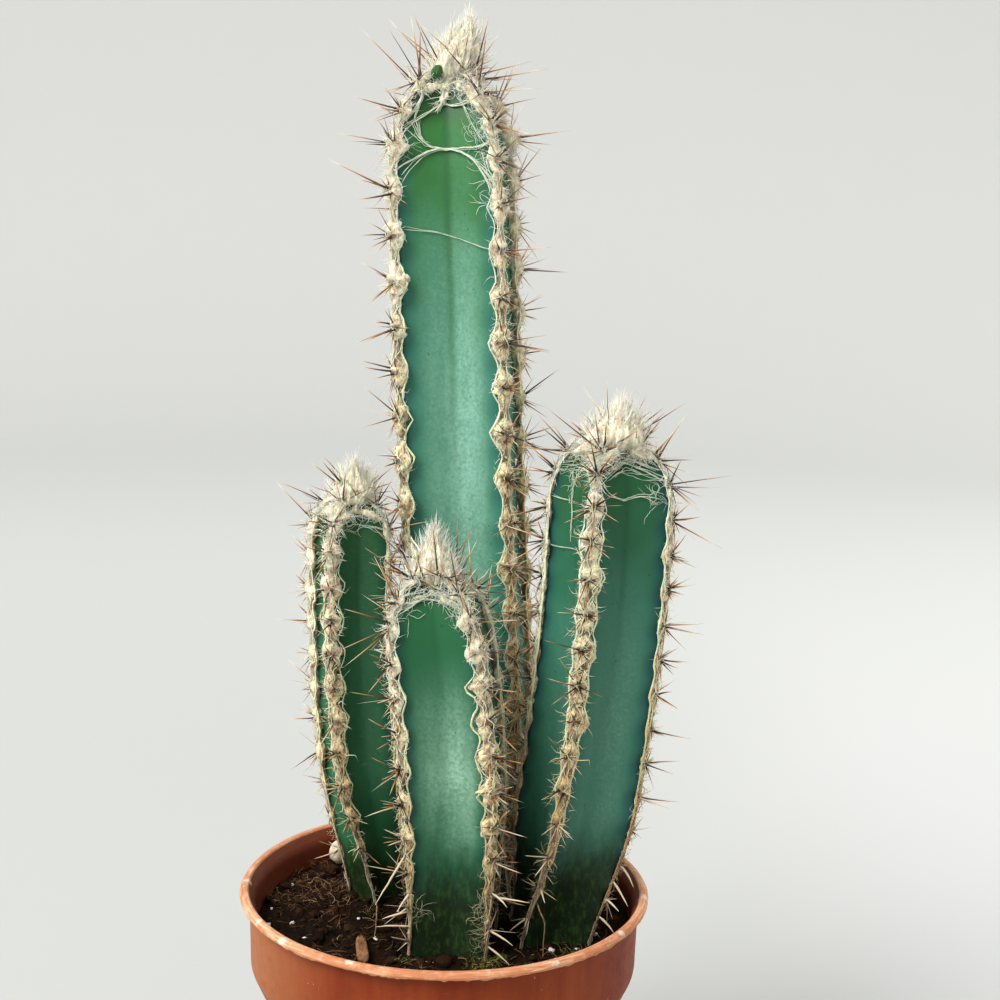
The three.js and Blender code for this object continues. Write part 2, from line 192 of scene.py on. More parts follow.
class Recipe(Nodes):
    def __init__(self, name):
        self.tree = bpy.data.node_groups.new(name, "GeometryNodeTree")
        self.units = {}
        self.addSocket("Geometry", "Geometry", "INPUT")
        self.addSocket("Geometry", "Geometry", "OUTPUT")
        self.entry = self.tree.nodes.new("NodeGroupInput")
        self.geometry = Wire(self.entry.outputs["Geometry"])
        self.material = self.input("Material", "Material")
        self.place = self.add("GeometryNodeInputPosition")
        self.normal = self.add("GeometryNodeInputNormal")

    def addSocket(self, name, kind, direction):
        kind = "NodeSocket" + kind
        return self.tree.interface.new_socket(name, in_out=direction, socket_type=kind)

    def input(self, name, kind="Float", unit=None):
        self.addSocket(name, kind, "INPUT")
        self.units[name] = units.get(unit, lambda value: value)
        return Wire(self.entry.outputs[name])

    def inputs(self, names, kind="Float", unit=None):
        return [self.input(name, kind, unit) for name in names.split(", ")]

    def named(self, name, kind="FLOAT"):
        return self.add("GeometryNodeInputNamedAttribute", {"Name": name}, data_type=kind)

    def vector(self, name):
        return self.named(name, "FLOAT_VECTOR")

    def move(self, geometry, offset):
        return self.add("GeometryNodeSetPosition", {"Geometry": geometry, "Offset": offset})

    def store(self, geometry, name, value, kind="FLOAT", domain="POINT"):
        inputs = {"Geometry": geometry, "Name": name, "Value": value}
        return self.add("GeometryNodeStoreNamedAttribute", inputs, data_type=kind, domain=domain)

    def chance(self, low, high, seed, kind="FLOAT"):
        inputs = {"Min": low, "Max": high, "Seed": seed}
        return self.add("FunctionNodeRandomValue", inputs, data_type=kind)

    def tube(self, line, sides):
        # a closed tube along a line, as thick as the line's own attribute says
        ring = self.add("GeometryNodeCurvePrimitiveCircle", {"Resolution": sides, "Radius": 1.0})
        inputs = {"Curve": line, "Profile Curve": ring, "Scale": self.named("thick"), "Fill Caps": True}
        return self.add("GeometryNodeCurveToMesh", inputs)

    def turnedTo(self, direction, seed):
        # the turn that points +Z in a direction, with a roll about it by chance
        align = self.add("FunctionNodeAlignRotationToVector", {"Vector": direction}, axis="Z")
        inputs = {"Axis": (0.0, 0.0, 1.0), "Angle": self.chance(0.0, fullTurn, seed)}
        roll = self.add("FunctionNodeAxisAngleToRotation", inputs)
        return self.add("FunctionNodeRotateRotation", {"Rotation": align, "Rotate By": roll},
                        rotation_space="LOCAL")

    def scatter(self, points, kinds, seed, inputs):
        # any one of the kinds on each point, each with a tone of its own
        choice = self.add("GeometryNodeCollectionInfo", {
            "Collection": kinds, "Separate Children": True, "Reset Children": True})
        copies = self.add("GeometryNodeInstanceOnPoints", {
            "Points": points, "Instance": choice, "Pick Instance": True,
            "Instance Index": self.chance(0, 10, seed, "INT"), **inputs})
        return self.store(copies, "tone", self.chance(0.0, 1.0, seed + 1), domain="INSTANCE")

    def finish(self, geometry):
        real = self.add("GeometryNodeRealizeInstances", {"Geometry": geometry})
        coated = self.add("GeometryNodeSetMaterial", {"Geometry": real, "Material": self.material})
        smooth = self.add("GeometryNodeSetShadeSmooth", {"Geometry": coated, "Shade Smooth": True})
        leave = self.tree.nodes.new("NodeGroupOutput")
        self.tree.links.new(smooth.socket, leave.inputs["Geometry"])
        return self

    def run(self, name, source, material, values):
        piece = bpy.data.objects.new(name, source)
        modifier = piece.modifiers.new(self.tree.name, "NODES")
        modifier.node_group = self.tree
        sockets = {item.name: item.identifier for item in self.tree.interface.items_tree
                   if item.in_out == "INPUT"}
        for label, value in {**values, "Material": material}.items():
            modifier[sockets[label]] = self.units[label](value)
        bpy.context.scene.collection.objects.link(piece)
        depsgraph = bpy.context.evaluated_depsgraph_get()
        result = bpy.data.meshes.new_from_object(
            piece.evaluated_get(depsgraph), preserve_all_data_layers=True, depsgraph=depsgraph)
        piece.modifiers.clear()
        piece.data = result
        result.name = name
        return piece


# Plain meshes and pieces.

def makeMesh(name, points, faces=(), edges=(), attributes=None, unit=mm):
    mesh = bpy.data.meshes.new(name)
    mesh.from_pydata([tuple(c * unit for c in point) for point in points], edges, faces)
    for label, values in (attributes or {}).items():
        several = hasattr(values[0], "__len__")
        layer = mesh.attributes.new(label, "FLOAT_VECTOR" if several else "FLOAT", "POINT")
        flat = np.array([tuple(v) for v in values] if several else values, np.float32).ravel()
        layer.data.foreach_set("vector" if several else "value", flat)
    mesh.update()
    return mesh


def ringFaces(rows, around):
    # the faces between rings of points that follow one another
    return [(low + i, low + (i + 1) % around, low + around + (i + 1) % around, low + around + i)
            for low in range(0, (rows - 1) * around, around) for i in range(around)]


def fanFaces(first, around, tip):
    return [(first + i, first + (i + 1) % around, tip) for i in range(around)]


def ballMesh(name, subdivisions, radius, moved):
    mesh = bpy.data.meshes.new(name)
    ball = bmesh.new()
    bmesh.ops.create_icosphere(ball, subdivisions=subdivisions, radius=radius)
    for vertex in ball.verts:
        vertex.co = moved(vertex.co.copy())
    ball.to_mesh(mesh)
    ball.free()
    return mesh


def addPiece(name, mesh, material):
    mesh.materials.append(material)
    mesh.polygons.foreach_set("use_smooth", [True] * len(mesh.polygons))
    piece = bpy.data.objects.new(name, mesh)
    bpy.context.scene.collection.objects.link(piece)
    return piece


def joinPieces(name, pieces):
    first = pieces[0]
    with bpy.context.temp_override(active_object=first, selected_editable_objects=pieces):
        bpy.ops.object.join()
    first.name = name
    first.data.name = name
    return first


def settle(piece, slot, *nodes):
    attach(piece, "root")
    if nodes:
        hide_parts(*nodes)
    piece.data.calc_loop_triangles()
    print(f"cactus: {piece.name}, {len(piece.data.loop_triangles)} triangles")


# Materials: what every finish starts from.

class Finish(Nodes):
    def __init__(self, name, **constants):
        self.material = bpy.data.materials.new(name)
        self.material.use_nodes = True
        self.tree = self.material.node_tree
        self.shader = self.tree.nodes["Principled BSDF"]
        for label, value in constants.items():
            self.shader.inputs[label.replace("_", " ")].default_value = value
        self.place = self.add("ShaderNodeTexCoord", output="Object")

    def attribute(self, name, output="Fac"):
        return self.add("ShaderNodeAttribute", output=output, attribute_name=name)

    def stretched(self, x, y, z):
        return self.add("ShaderNodeMapping", {"Vector": self.place, "Scale": (x, y, z)})

    def mix(self, first, second, factor):
        inputs = {"Factor": factor, "A": colour(first), "B": colour(second)}
        return self.add("ShaderNodeMix", inputs, data_type="RGBA")

    def ramp(self, value, stops):
        wire = self.add("ShaderNodeValToRGB", {"Fac": value})
        elements = wire.socket.node.color_ramp.elements
        for i, (position, shade) in enumerate(stops):
            element = elements[i] if i < 2 else elements.new(position)
            element.position = position
            element.color = colour(shade)
        return wire

    def connect(self, label, wire):
        self.tree.links.new(wire.socket, self.shader.inputs[label])

    def bump(self, height, depth, strength=1.0):
        inputs = {"Height": height, "Distance": depth * mm, "Strength": strength}
        self.connect("Normal", self.add("ShaderNodeBump", inputs))
        return self.material


# Camera, studio and light.

studio = {
    "place": (12.18, -436.88, 279.28), "pitch": 11.17, "yaw": -0.07, "roll": 1.51, "lens": 64.8,
    "sensor": 36, "nearest": 10,
    "bowlRadius": 1900, "bowlCurve": 700, "bowlHeight": 1000, "around": 96, "bends": 16,
    # the paper: on the wall, on the floor half way out, and close by to the left and the right; the floor
    # is painted darker than the wall where the lamps light it more, and lighter close by on the right where
    # the pot's shadow falls, as painted shade and painted light
    "wall": (204, 204, 200), "floor": (194, 195, 191),
    "paintedShadeNearLeft": (184, 185, 181), "paintedLightNearRight": (201, 201, 199), "cloud": (198, 199, 195),
    "sky": (240, 241, 242), "skyStrength": 1.12,
    # each lamp: where it stands, what it is turned to, its width and its power
    "lamps": {
        "key": ((-1100, -900, 1700), (0, 0, 150), 1300, 56.5),
        "paper": ((0, 500, 1700), (0, 1900, 350), 900, 7.7),
        "floor": ((650, 650, 650), (620, 560, 0), 500, 2.8),
    },
}


def makeCamera():
    data = bpy.data.cameras.new("camera")
    data.lens = studio["lens"]
    data.sensor_width = studio["sensor"]
    data.clip_start = studio["nearest"] * mm
    camera = bpy.data.objects.new("camera", data)
    bpy.context.scene.collection.objects.link(camera)
    pitch, yaw, roll = (math.radians(studio[key]) for key in ("pitch", "yaw", "roll"))
    ahead = Vector((math.sin(yaw) * math.cos(pitch), math.cos(yaw) * math.cos(pitch), -math.sin(pitch)))
    right = Vector((math.cos(yaw), -math.sin(yaw), 0))
    above = right.cross(ahead)
    side = right * math.cos(roll) + above * math.sin(roll)
    head = above * math.cos(roll) - right * math.sin(roll)
    camera.matrix_world = Matrix((side, head, -ahead)).transposed().to_4x4()
    camera.location = Vector(studio["place"]) * mm
    bpy.context.scene.camera = camera


def makeLamp(name, place, target, width, power):
    data = bpy.data.lights.new(name, "AREA")
    data.shape = "DISK"
    data.size = width * mm
    data.energy = power
    lamp = bpy.data.objects.new(name, data)
    lamp.location = Vector(place) * mm
    lamp.rotation_euler = (Vector(target) - Vector(place)).to_track_quat("-Z", "Y").to_euler()
    bpy.context.scene.collection.objects.link(lamp)


def paperMesh():
    # a round bowl of paper: a level floor, a curve and an upright wall, seen from inside
    radius, curve, bends = studio["bowlRadius"], studio["bowlCurve"], studio["bends"]
    profile = [(radius - curve + curve * math.sin(turn), curve - curve * math.cos(turn))
               for turn in (math.pi / 2 * i / bends for i in range(bends + 1))]
    profile.append((radius, studio["bowlHeight"]))
    around = studio["around"]
    points = [(reach * math.cos(turn), reach * math.sin(turn), level) for reach, level in profile
              for turn in (fullTurn * i / around for i in range(around))]
    faces = [face[::-1] for face in ringFaces(len(profile), around)]
    return makeMesh("studio_floor", points + [(0, 0, 0)], faces + fanFaces(0, around, len(points)))


def makeStudio():
    paper = Finish("paper", Roughness=0.95)
    distance, sideways = vectorNode("LENGTH", levelled(paper.place)), axisOf(paper.place, "X")
    # painted shade and painted light on the floor, so that the backdrop comes out even under the lamps
    shade = paper.mix(studio["paintedShadeNearLeft"], studio["paintedLightNearRight"], remap(sideways, 20 * mm, 240 * mm))
    shade = paper.mix(shade, studio["floor"], remap(distance, 300 * mm, 900 * mm))
    shade = paper.mix(shade, studio["wall"], remap(distance, 1000 * mm, 1750 * mm))
    cloud = 0.3 * noiseNode(paper.place, 900, 1.0)
    paper.connect("Base Color", paper.mix(shade, studio["cloud"], cloud))
    addPiece("studio_floor", paperMesh(), paper.material)

    world = bpy.data.worlds.new("sky")
    world.use_nodes = True
    background = world.node_tree.nodes["Background"]
    background.inputs["Color"].default_value = colour(studio["sky"])
    background.inputs["Strength"].default_value = studio["skyStrength"]
    bpy.context.scene.world = world
    for name, lamp in studio["lamps"].items():
        makeLamp(name, *lamp)
    bpy.context.scene.view_settings.view_transform = "Standard"


makeCamera()
makeStudio()
print("cactus: camera, paper and lamps")


# The pot: a turned shell with a rolled lip, a collar and a small step under it.

pot = {
    "height": 92, "lip": 52.5, "lipWidth": 2.6, "lipDrop": 2.1, "wall": 1.6, "rounding": 1.1,
    "collarTop": 49.9, "collarBottom": 49.6, "collarFoot": 72,
    "shoulder": 46, "shoulderFoot": 64, "base": 37.5, "floor": 2.2,
    "around": 360, "sway": 0.12, "insideFrom": 0.62,
    # mould flash under the lip: how far it hangs and how ragged it is, by size
    "flash": 0.35, "ragged": [(3.1, 0.4), (15, 0.6), (41, 0.5)],
    # the colour on the side that the key lamp lights is painted light
    "lit": (160, 74, 34), "deep": (124, 42, 16), "inside": (112, 46, 26), "paintedLitSide": (198, 132, 82),
    "scuffed": (188, 110, 70), "worn": (198, 126, 84), "pale": (238, 190, 152), "lime": (244, 226, 206),
    "dirt": (84, 44, 28),
    # where lime has dried on the lip: the place and how far it reaches
    "chips": [((-50.6, -1.8, 91.6), 1.3), ((51.3, -5.8, 91.4), 1.6), ((27.6, -44.6, 91.8), 1.2),
              ((-37.3, -36.2, 91.2), 1.5), ((-20, -47.6, 91.9), 1.0), ((44, -27, 91.8), 1.1),
              ((-44.8, -26.5, 91.8), 1.1)],
}


def rounded(points, radius, steps=4):
    # a profile with each inner corner turned into a short arc
    result = [points[0]]
    for before, corner, after in zip(points, points[1:], points[2:]):
        corner = Vector(corner)
        toBefore, toAfter = Vector(before) - corner, Vector(after) - corner
        reach = min(radius, 0.45 * toBefore.length, 0.45 * toAfter.length)
        start = corner + toBefore.normalized() * reach
        end = corner + toAfter.normalized() * reach
        for i in range(steps + 1):
            share = i / steps
            result.append(tuple(start.lerp(corner, share).lerp(corner.lerp(end, share), share)))
    return result + [points[-1]]


def potProfile():
    top, lip, inner = pot["height"], pot["lip"], pot["lip"] - pot["lipWidth"]
    under, wall = top - pot["lipDrop"], pot["wall"]
    outline = [
        (0, 0), (pot["base"], 0), (pot["shoulder"], pot["shoulderFoot"]),
        (pot["collarBottom"], pot["collarFoot"]), (pot["collarTop"], under),
        (lip - 0.3, under + 0.3), (lip, top - 1.2), (lip - 0.8, top), (inner + 0.5, top),
        (inner, top - 0.8), (pot["collarTop"] - wall, under - 1.5),
        (pot["collarBottom"] - wall, pot["collarFoot"]),
        (pot["shoulder"] - wall, pot["shoulderFoot"]),
        (pot["base"] - wall, pot["floor"]), (0, pot["floor"]),
    ]
    return rounded(outline, pot["rounding"])


def potMesh():
    profile = potProfile()[1:-1]
    under, around = pot["height"] - pot["lipDrop"], pot["around"]
    points, inside = [], []
    for row, (radius, z) in enumerate(profile):
        for i in range(around):
            turn = fullTurn * i / around
            ahead = Vector((math.sin(turn), -math.cos(turn), 0))
            # mould flash hangs from the lip's lower corner, in ragged stretches
            ragged = sum(weight * noise.noise(ahead * size) for size, weight in pot["ragged"])
            nearFlash = math.exp(-((radius - pot["lip"] + 0.4) ** 2 + (z - under - 0.2) ** 2) / 0.5)
            drop = pot["flash"] * nearFlash * smoothstep(ragged, 0.0, 0.35)
            sway = pot["sway"] * noise.noise(Vector((ahead.x * 2, ahead.y * 2, z * 0.03)))
            points.append(tuple(ahead * (radius + sway))[:2] + (z - drop,))
            inside.append(1.0 if row > len(profile) * pot["insideFrom"] else 0.0)
    last = (len(profile) - 1) * around
    faces = ringFaces(len(profile), around)
    faces += [tuple(range(around))[::-1], tuple(range(last, last + around))]
    return makeMesh("pot_shell", points, faces, attributes={"inside": inside})


def potFinish():
    # thin plastic: lighter and chalky on the lip, painted lighter on the lit side, scuffed, with lime
    # specks
    coat = Finish("terracotta_plastic", Specular_IOR_Level=0.14)
    x, y, height = (axisOf(coat.place, axis) for axis in "XYZ")
    wide = noiseNode(coat.place, 34, 3)
    # lines that the mould left run round the pot
    turned = combined(X=mathNode("ARCTAN2", x, 0 - y) * (5 * mm),
                      Y=vectorNode("LENGTH", levelled(coat.place)), Z=height)
    lines = noiseNode(turned, 0.5, 3, 0.6)
    streaks = noiseNode(coat.stretched(1, 1, 0.12), 5, 4, 0.6)
    body = coat.mix(pot["deep"], pot["lit"], remap(wide + 0.5 * streaks, 0.45, 1.05))
    # painted light: the side that the key lamp lights is painted lighter
    litSideLight = remap(x + 12 * mm * (wide - 0.5), -49 * mm, -22 * mm, 0.5, 0.0)
    body = coat.mix(body, pot["paintedLitSide"], litSideLight)
    scuffs = remap(noiseNode(turned, 2.4, 5, 0.75), 0.6, 0.74)
    body = coat.mix(body, pot["scuffed"], scuffs * 0.35)
    frayed = height + 0.5 * mm * (noiseNode(turned, 3, 4, 0.7) - 0.5)
    lipShare = remap(frayed, (pot["height"] - 2.6) * mm, (pot["height"] - 2.2) * mm)
    chalk = noiseNode(coat.place, 2.2, 5, 0.65)
    worn = limit(remap(0.45 * wide + 0.55 * lines, 0.44, 0.62) * 0.75 + remap(chalk, 0.5, 0.7) * 0.35)
    body = coat.mix(body, coat.mix(pot["worn"], pot["pale"], worn), lipShare)
    body = coat.mix(body, pot["inside"], coat.attribute("inside") * 0.9)
    specks, gate = noiseNode(coat.place, 1.1, 2, 0.5), noiseNode(coat.place, 14, 2)
    lime = remap(specks, 0.69, 0.76) * remap(gate, 0.5, 0.62)
    for spot, reach in pot["chips"]:
        away = vectorNode("DISTANCE", coat.place, tuple(c * mm for c in spot)) + 5 * mm * (chalk - 0.5)
        lime = limit(lime + remap(away, reach * 0.4 * mm, reach * 1.2 * mm, 0.85, 0.0))
    body = coat.mix(body, pot["lime"], lime * 0.85)
    dirt = remap(noiseNode(coat.place, 6, 6, 0.7), 0.55, 0.75)
    coat.connect("Base Color", coat.mix(body, pot["dirt"], dirt * 0.28))
    coat.connect("Roughness", remap(chalk + lime, 0.3, 1.0, 0.46, 0.75))
    return coat.bump(noiseNode(coat.place, 0.7, 3) + 1.5 * lime + 0.5 * streaks + 0.9 * lines, 0.07, 0.8)


potPiece = addPiece("pot_shell", potMesh(), potFinish())
settle(potPiece, "pot_plastic", "pot")


# The stems: what each one's solid has as its sizes, and its own colours.
# base and top are the ends of its axis, bow bends the axis sideways, and valley is how deep the
# faces fold in. The foot is twisted and slimmer, and swells to the full radius over swell.
# tuft is the flame of wool on its top, which leans, and the collar of hairs on the skin round it.

soilLevel = 82
plantDepth = 14
ribCount = 4
quarter = fullTurn / ribCount
ribRounding = math.radians(4)
domePower = 2.4
woolStart = 3.5

commonStem = {"valley": 0.53, "footTwist": 0, "areoleStep": 8.6, "weather": 1.0, "around": 104,
              "bulge": 0.35, "slot": "stem_skin_dark"}
stems = {name: {"name": name, **commonStem, **own} for name, own in {
    "tall": {
        "base": (10.4, 20.9), "top": (-3.5, 31, 297), "bow": (-1.3, 0), "radius": 18.1,
        "firstRib": -52.8, "footShare": 0.55, "swell": 60, "dome": 31,
        "areoleStep": 11, "weather": 0.95, "along": 200, "bulge": 0.45, "slot": "stem_skin_bright",
        "tuft": {"radius": 7.0, "height": 15.5, "sink": 3, "lean": (4.6, 0), "hairs": 520, "locks": 60,
                 "spines": 10, "collar": 7.5, "collarHairs": 150}},
    "left": {
        "base": (-18.1, 14.1), "top": (-26.1, 12.6, 191), "bow": (-2.8, 0), "radius": 10.8,
        "firstRib": -112.2, "footTwist": 22, "footShare": 0.66, "swell": 38, "dome": 14,
        "around": 88, "along": 140, "bulge": 0.3,
        "tuft": {"radius": 5.4, "height": 10, "sink": 3.5, "lean": (0.6, 0), "hairs": 360, "locks": 40,
                 "spines": 13, "collar": 8, "collarHairs": 150}},
    "front": {
        "base": (2.7, -13.4), "top": (-4.4, -11.5, 176.8), "bow": (2.5, 0), "radius": 15.1,
        "firstRib": -51.2, "footShare": 0.87, "swell": 44, "dome": 20, "along": 150,
        "slot": "stem_skin_bloomed",
        "tuft": {"radius": 6.2, "height": 12.5, "sink": 4, "lean": (0.6, 0), "hairs": 420, "locks": 50,
                 "spines": 10, "collar": 9, "collarHairs": 180}},
    "right": {
        "base": (27.2, -5.7), "top": (38.7, -3.5, 210.5), "bow": (3.2, -1), "radius": 15.4, "valley": 0.52,
        "firstRib": -108.4, "footTwist": -18, "footShare": 0.8, "swell": 35, "dome": 20,
        "weather": 1.18, "along": 170,
        "tuft": {"radius": 7.8, "height": 10, "sink": 4.5, "lean": (2.4, 0), "hairs": 460, "locks": 50,
                 "spines": 13, "collar": 8.5, "collarHairs": 160}},
}.items()}


def axisAt(stem, z):
    share = clamp((z - soilLevel) / (stem["top"][2] - soilLevel))
    bow = 4 * share * (1 - share)
    return Vector((lerp(stem["base"][0], stem["top"][0], share) + stem["bow"][0] * bow,
                   lerp(stem["base"][1], stem["top"][1], share) + stem["bow"][1] * bow, z))


def swellAt(stem, z):
    return smoothstep(z, soilLevel, soilLevel + stem["swell"])


def radiusAt(stem, z):
    domeShare = clamp((z - stem["top"][2] + stem["dome"]) / stem["dome"])
    wide = stem["radius"] * lerp(stem["footShare"], 1, swellAt(stem, z))
    return wide * math.sqrt(1 - domeShare ** domePower)


def outward(turn):
    return Vector((math.sin(turn), -math.cos(turn), 0))


def ribTurn(stem, rib, z):
    return math.radians(stem["firstRib"] + stem["footTwist"] * (1 - swellAt(stem, z))) + rib * quarter


def sectionShare(stem, fromEdge):
    eased = math.hypot(fromEdge, ribRounding) - ribRounding
    side = stem["valley"] * math.sqrt(0.5)
    return side / ((1 - side) * math.sin(eased) + side * math.cos(eased))


def skinPoint(stem, rib, z, lift=0.0):
    # rib 0 is on the first rib's edge, and 0.5 is in the middle of the face beside it
    fromEdge = abs((rib + 0.5) % 1 - 0.5) * quarter
    radius = radiusAt(stem, z) * sectionShare(stem, fromEdge) + lift
    return axisAt(stem, z) + outward(ribTurn(stem, rib, z)) * radius


# How the sides are made: the share of rows under the dome, how columns crowd at the rib edges, how
# softly the faces fold, how blunt the edges are, how far from an edge its swellings reach, how uneven
# the skin is, how large its lumps are, how far up all that starts, and how close points are welded.
sides = {"bodyRows": 0.84, "crowding": 0.09, "crease": math.radians(7), "blunting": math.radians(2.5),
         "swelling": (math.radians(2.0), math.radians(17.0)), "unevenness": 0.9, "lump": 16,
         "start": 8, "weld": 0.004}


def ribbedStemRecipe():
    recipe = Recipe("ribbed_stem")
    foot, top, bow = recipe.inputs("Foot, Top, Bow", "Vector", "length")
    radius, swell, dome, depth = recipe.inputs("Radius, Swell, Dome, Depth", unit="length")
    bulge, step, start = recipe.inputs("Bulge, Areole Step, First Areole", unit="length")
    unevenness = recipe.input("Unevenness", unit="length")
    firstRib, twist = recipe.inputs("First Rib, Foot Twist", unit="angle")
    valley, footShare = recipe.inputs("Valley, Foot Share")
    around, along = recipe.inputs("Around, Along", "Int")

    grid = recipe.add("GeometryNodeMeshGrid", {
        "Size X": 1.0, "Size Y": 1.0, "Vertices X": around + 1, "Vertices Y": along})
    place, footZ, topZ = recipe.place, axisOf(foot, "Z"), axisOf(top, "Z")

    # rows: even up the body, then closer over the dome
    row, bodyRows = axisOf(place, "Y") + 0.5, sides["bodyRows"]
    domeFoot = topZ - dome
    bodyZ = footZ - depth + (domeFoot - footZ + depth) * (row / bodyRows)
    domeZ = domeFoot + dome * mathNode("SINE", remap(row, bodyRows, 1.0, 0.0, math.pi / 2, "LINEAR"))
    inDome = mathNode("GREATER_THAN", row, bodyRows)
    z = bodyZ * (1 - inDome) + domeZ * inDome

    share = limit((z - footZ) / (topZ - footZ))
    axis = foot + (top - foot) * share + bow * (4 * share * (1 - share))
    swollen = remap(z - footZ, 0.0, swell)
    domeShare = limit((z - domeFoot) / dome)
    hub = mathNode("SQRT", mathNode("MAXIMUM", 1 - domeShare ** domePower, 0.0))
    wide = radius * (footShare + (1 - footShare) * swollen) * hub

    # columns: closer together at the rib edges
    turns = (axisOf(place, "X") + 0.5) * float(ribCount)
    turns = turns - sides["crowding"] * mathNode("SINE", turns * fullTurn)
    turn = turns * quarter
    fromEdge = mathNode("PINGPONG", turn, quarter / 2)
    fromValley, crease = quarter / 2 - fromEdge, sides["crease"]
    softValley = mathNode("SQRT", fromValley * fromValley + crease * crease) - crease
    edge = math.hypot(quarter / 2, crease) - crease - softValley + sides["blunting"]
    eased = mathNode("SQRT", edge * edge + ribRounding * ribRounding) - ribRounding
    side = valley * math.sqrt(0.5)
    section = side / ((1 - side) * mathNode("SINE", eased) + side * mathNode("COSINE", eased))

    # the rib edges are notched at the areoles, which sit by turns on neighbouring ribs
    parity = mathNode("PINGPONG", mathNode("ROUND", turns), 1.0)
    wave = mathNode("COSINE", (z - start) / step * fullTurn + parity * math.pi)
    swing = bulge * (0 - wave) * remap(fromEdge, *sides["swelling"], 1.0, 0.0) * hub
    heading = firstRib + twist * (1 - swollen) + turn
    spread = combined(X=mathNode("SINE", heading), Y=0 - mathNode("COSINE", heading))
    uneven = (noiseNode(axis + spread * wide, sides["lump"], 2) - 0.5) * unevenness * hub
    notPole = mathNode("GREATER_THAN", row, 0.001)
    started = remap(z - footZ, 0.0, sides["start"] * mm)
    flat = levelled(axis) + spread * ((wide * section + (swing + uneven) * started) * notPole)

    # what the skin's colours follow: 1 on a rib's edge, the height over the soil, and the rib
    # the fields read the grid's own places, so they are stored before it is bent
    stored = recipe.store(grid, "crest", 1 - fromEdge / (quarter / 2))
    stored = recipe.store(stored, "rise", z - footZ)
    stored = recipe.store(stored, "rib", turns)
    placed = recipe.add("GeometryNodeSetPosition", {"Geometry": stored, "Position": flat + combined(Z=z)})
    inputs = {"Geometry": placed, "Distance": sides["weld"] * mm}
    return recipe.finish(recipe.add("GeometryNodeMergeByDistance", inputs))


# Skin colours: top, middle and foot of the stem, how strong the waxy bloom is and where, up the stem
# and across a face, how much bloom is left on the half of a face turned from the key lamp (painted
# shade), the edges' colour, the crease's painted shade and how strong it is, and how high the darker,
# mottled foot reaches.
skins = {
    "tall": {"top": (48, 112, 42), "middle": (58, 126, 98), "foot": (34, 84, 56), "bloom": (156, 206, 184),
             "bloomShare": 0.84, "bloomFrom": 0.2, "bloomTo": 0.75, "bloomWidth": (0.5, 0.97),
             "margin": (50, 112, 104), "darkFoot": 24,
             "crease": (40, 96, 50), "creaseShadeShare": 0.7, "bloomOnShadedHalf": 0.52},
    "left": {"top": (30, 84, 40), "middle": (44, 104, 68), "foot": (54, 94, 46), "bloom": (92, 140, 112),
             "bloomShare": 0.35, "bloomFrom": 0.3, "bloomTo": 0.9, "bloomWidth": (0.6, 0.97),
             "margin": (30, 78, 62), "darkFoot": 18,
             "crease": (24, 70, 34), "creaseShadeShare": 0.4, "bloomOnShadedHalf": 0.55},
    "front": {"top": (32, 96, 54), "middle": (40, 104, 72), "foot": (48, 86, 42), "bloom": (172, 216, 188),
              "bloomShare": 0.84, "bloomFrom": 0.38, "bloomTo": 0.62, "bloomWidth": (0.5, 1.0),
              "margin": (26, 78, 72), "darkFoot": 34,
              "crease": (24, 74, 40), "creaseShadeShare": 0.25, "bloomOnShadedHalf": 0.6},
    "right": {"top": (30, 88, 44), "middle": (52, 114, 92), "foot": (36, 68, 32), "bloom": (120, 168, 144),
              "bloomShare": 0.5, "bloomFrom": 0.26, "bloomTo": 0.62, "bloomWidth": (0.5, 0.95),
              "margin": (28, 76, 84), "darkFoot": 38,
              "crease": (28, 78, 44), "creaseShadeShare": 0.35, "bloomOnShadedHalf": 0.55},
}


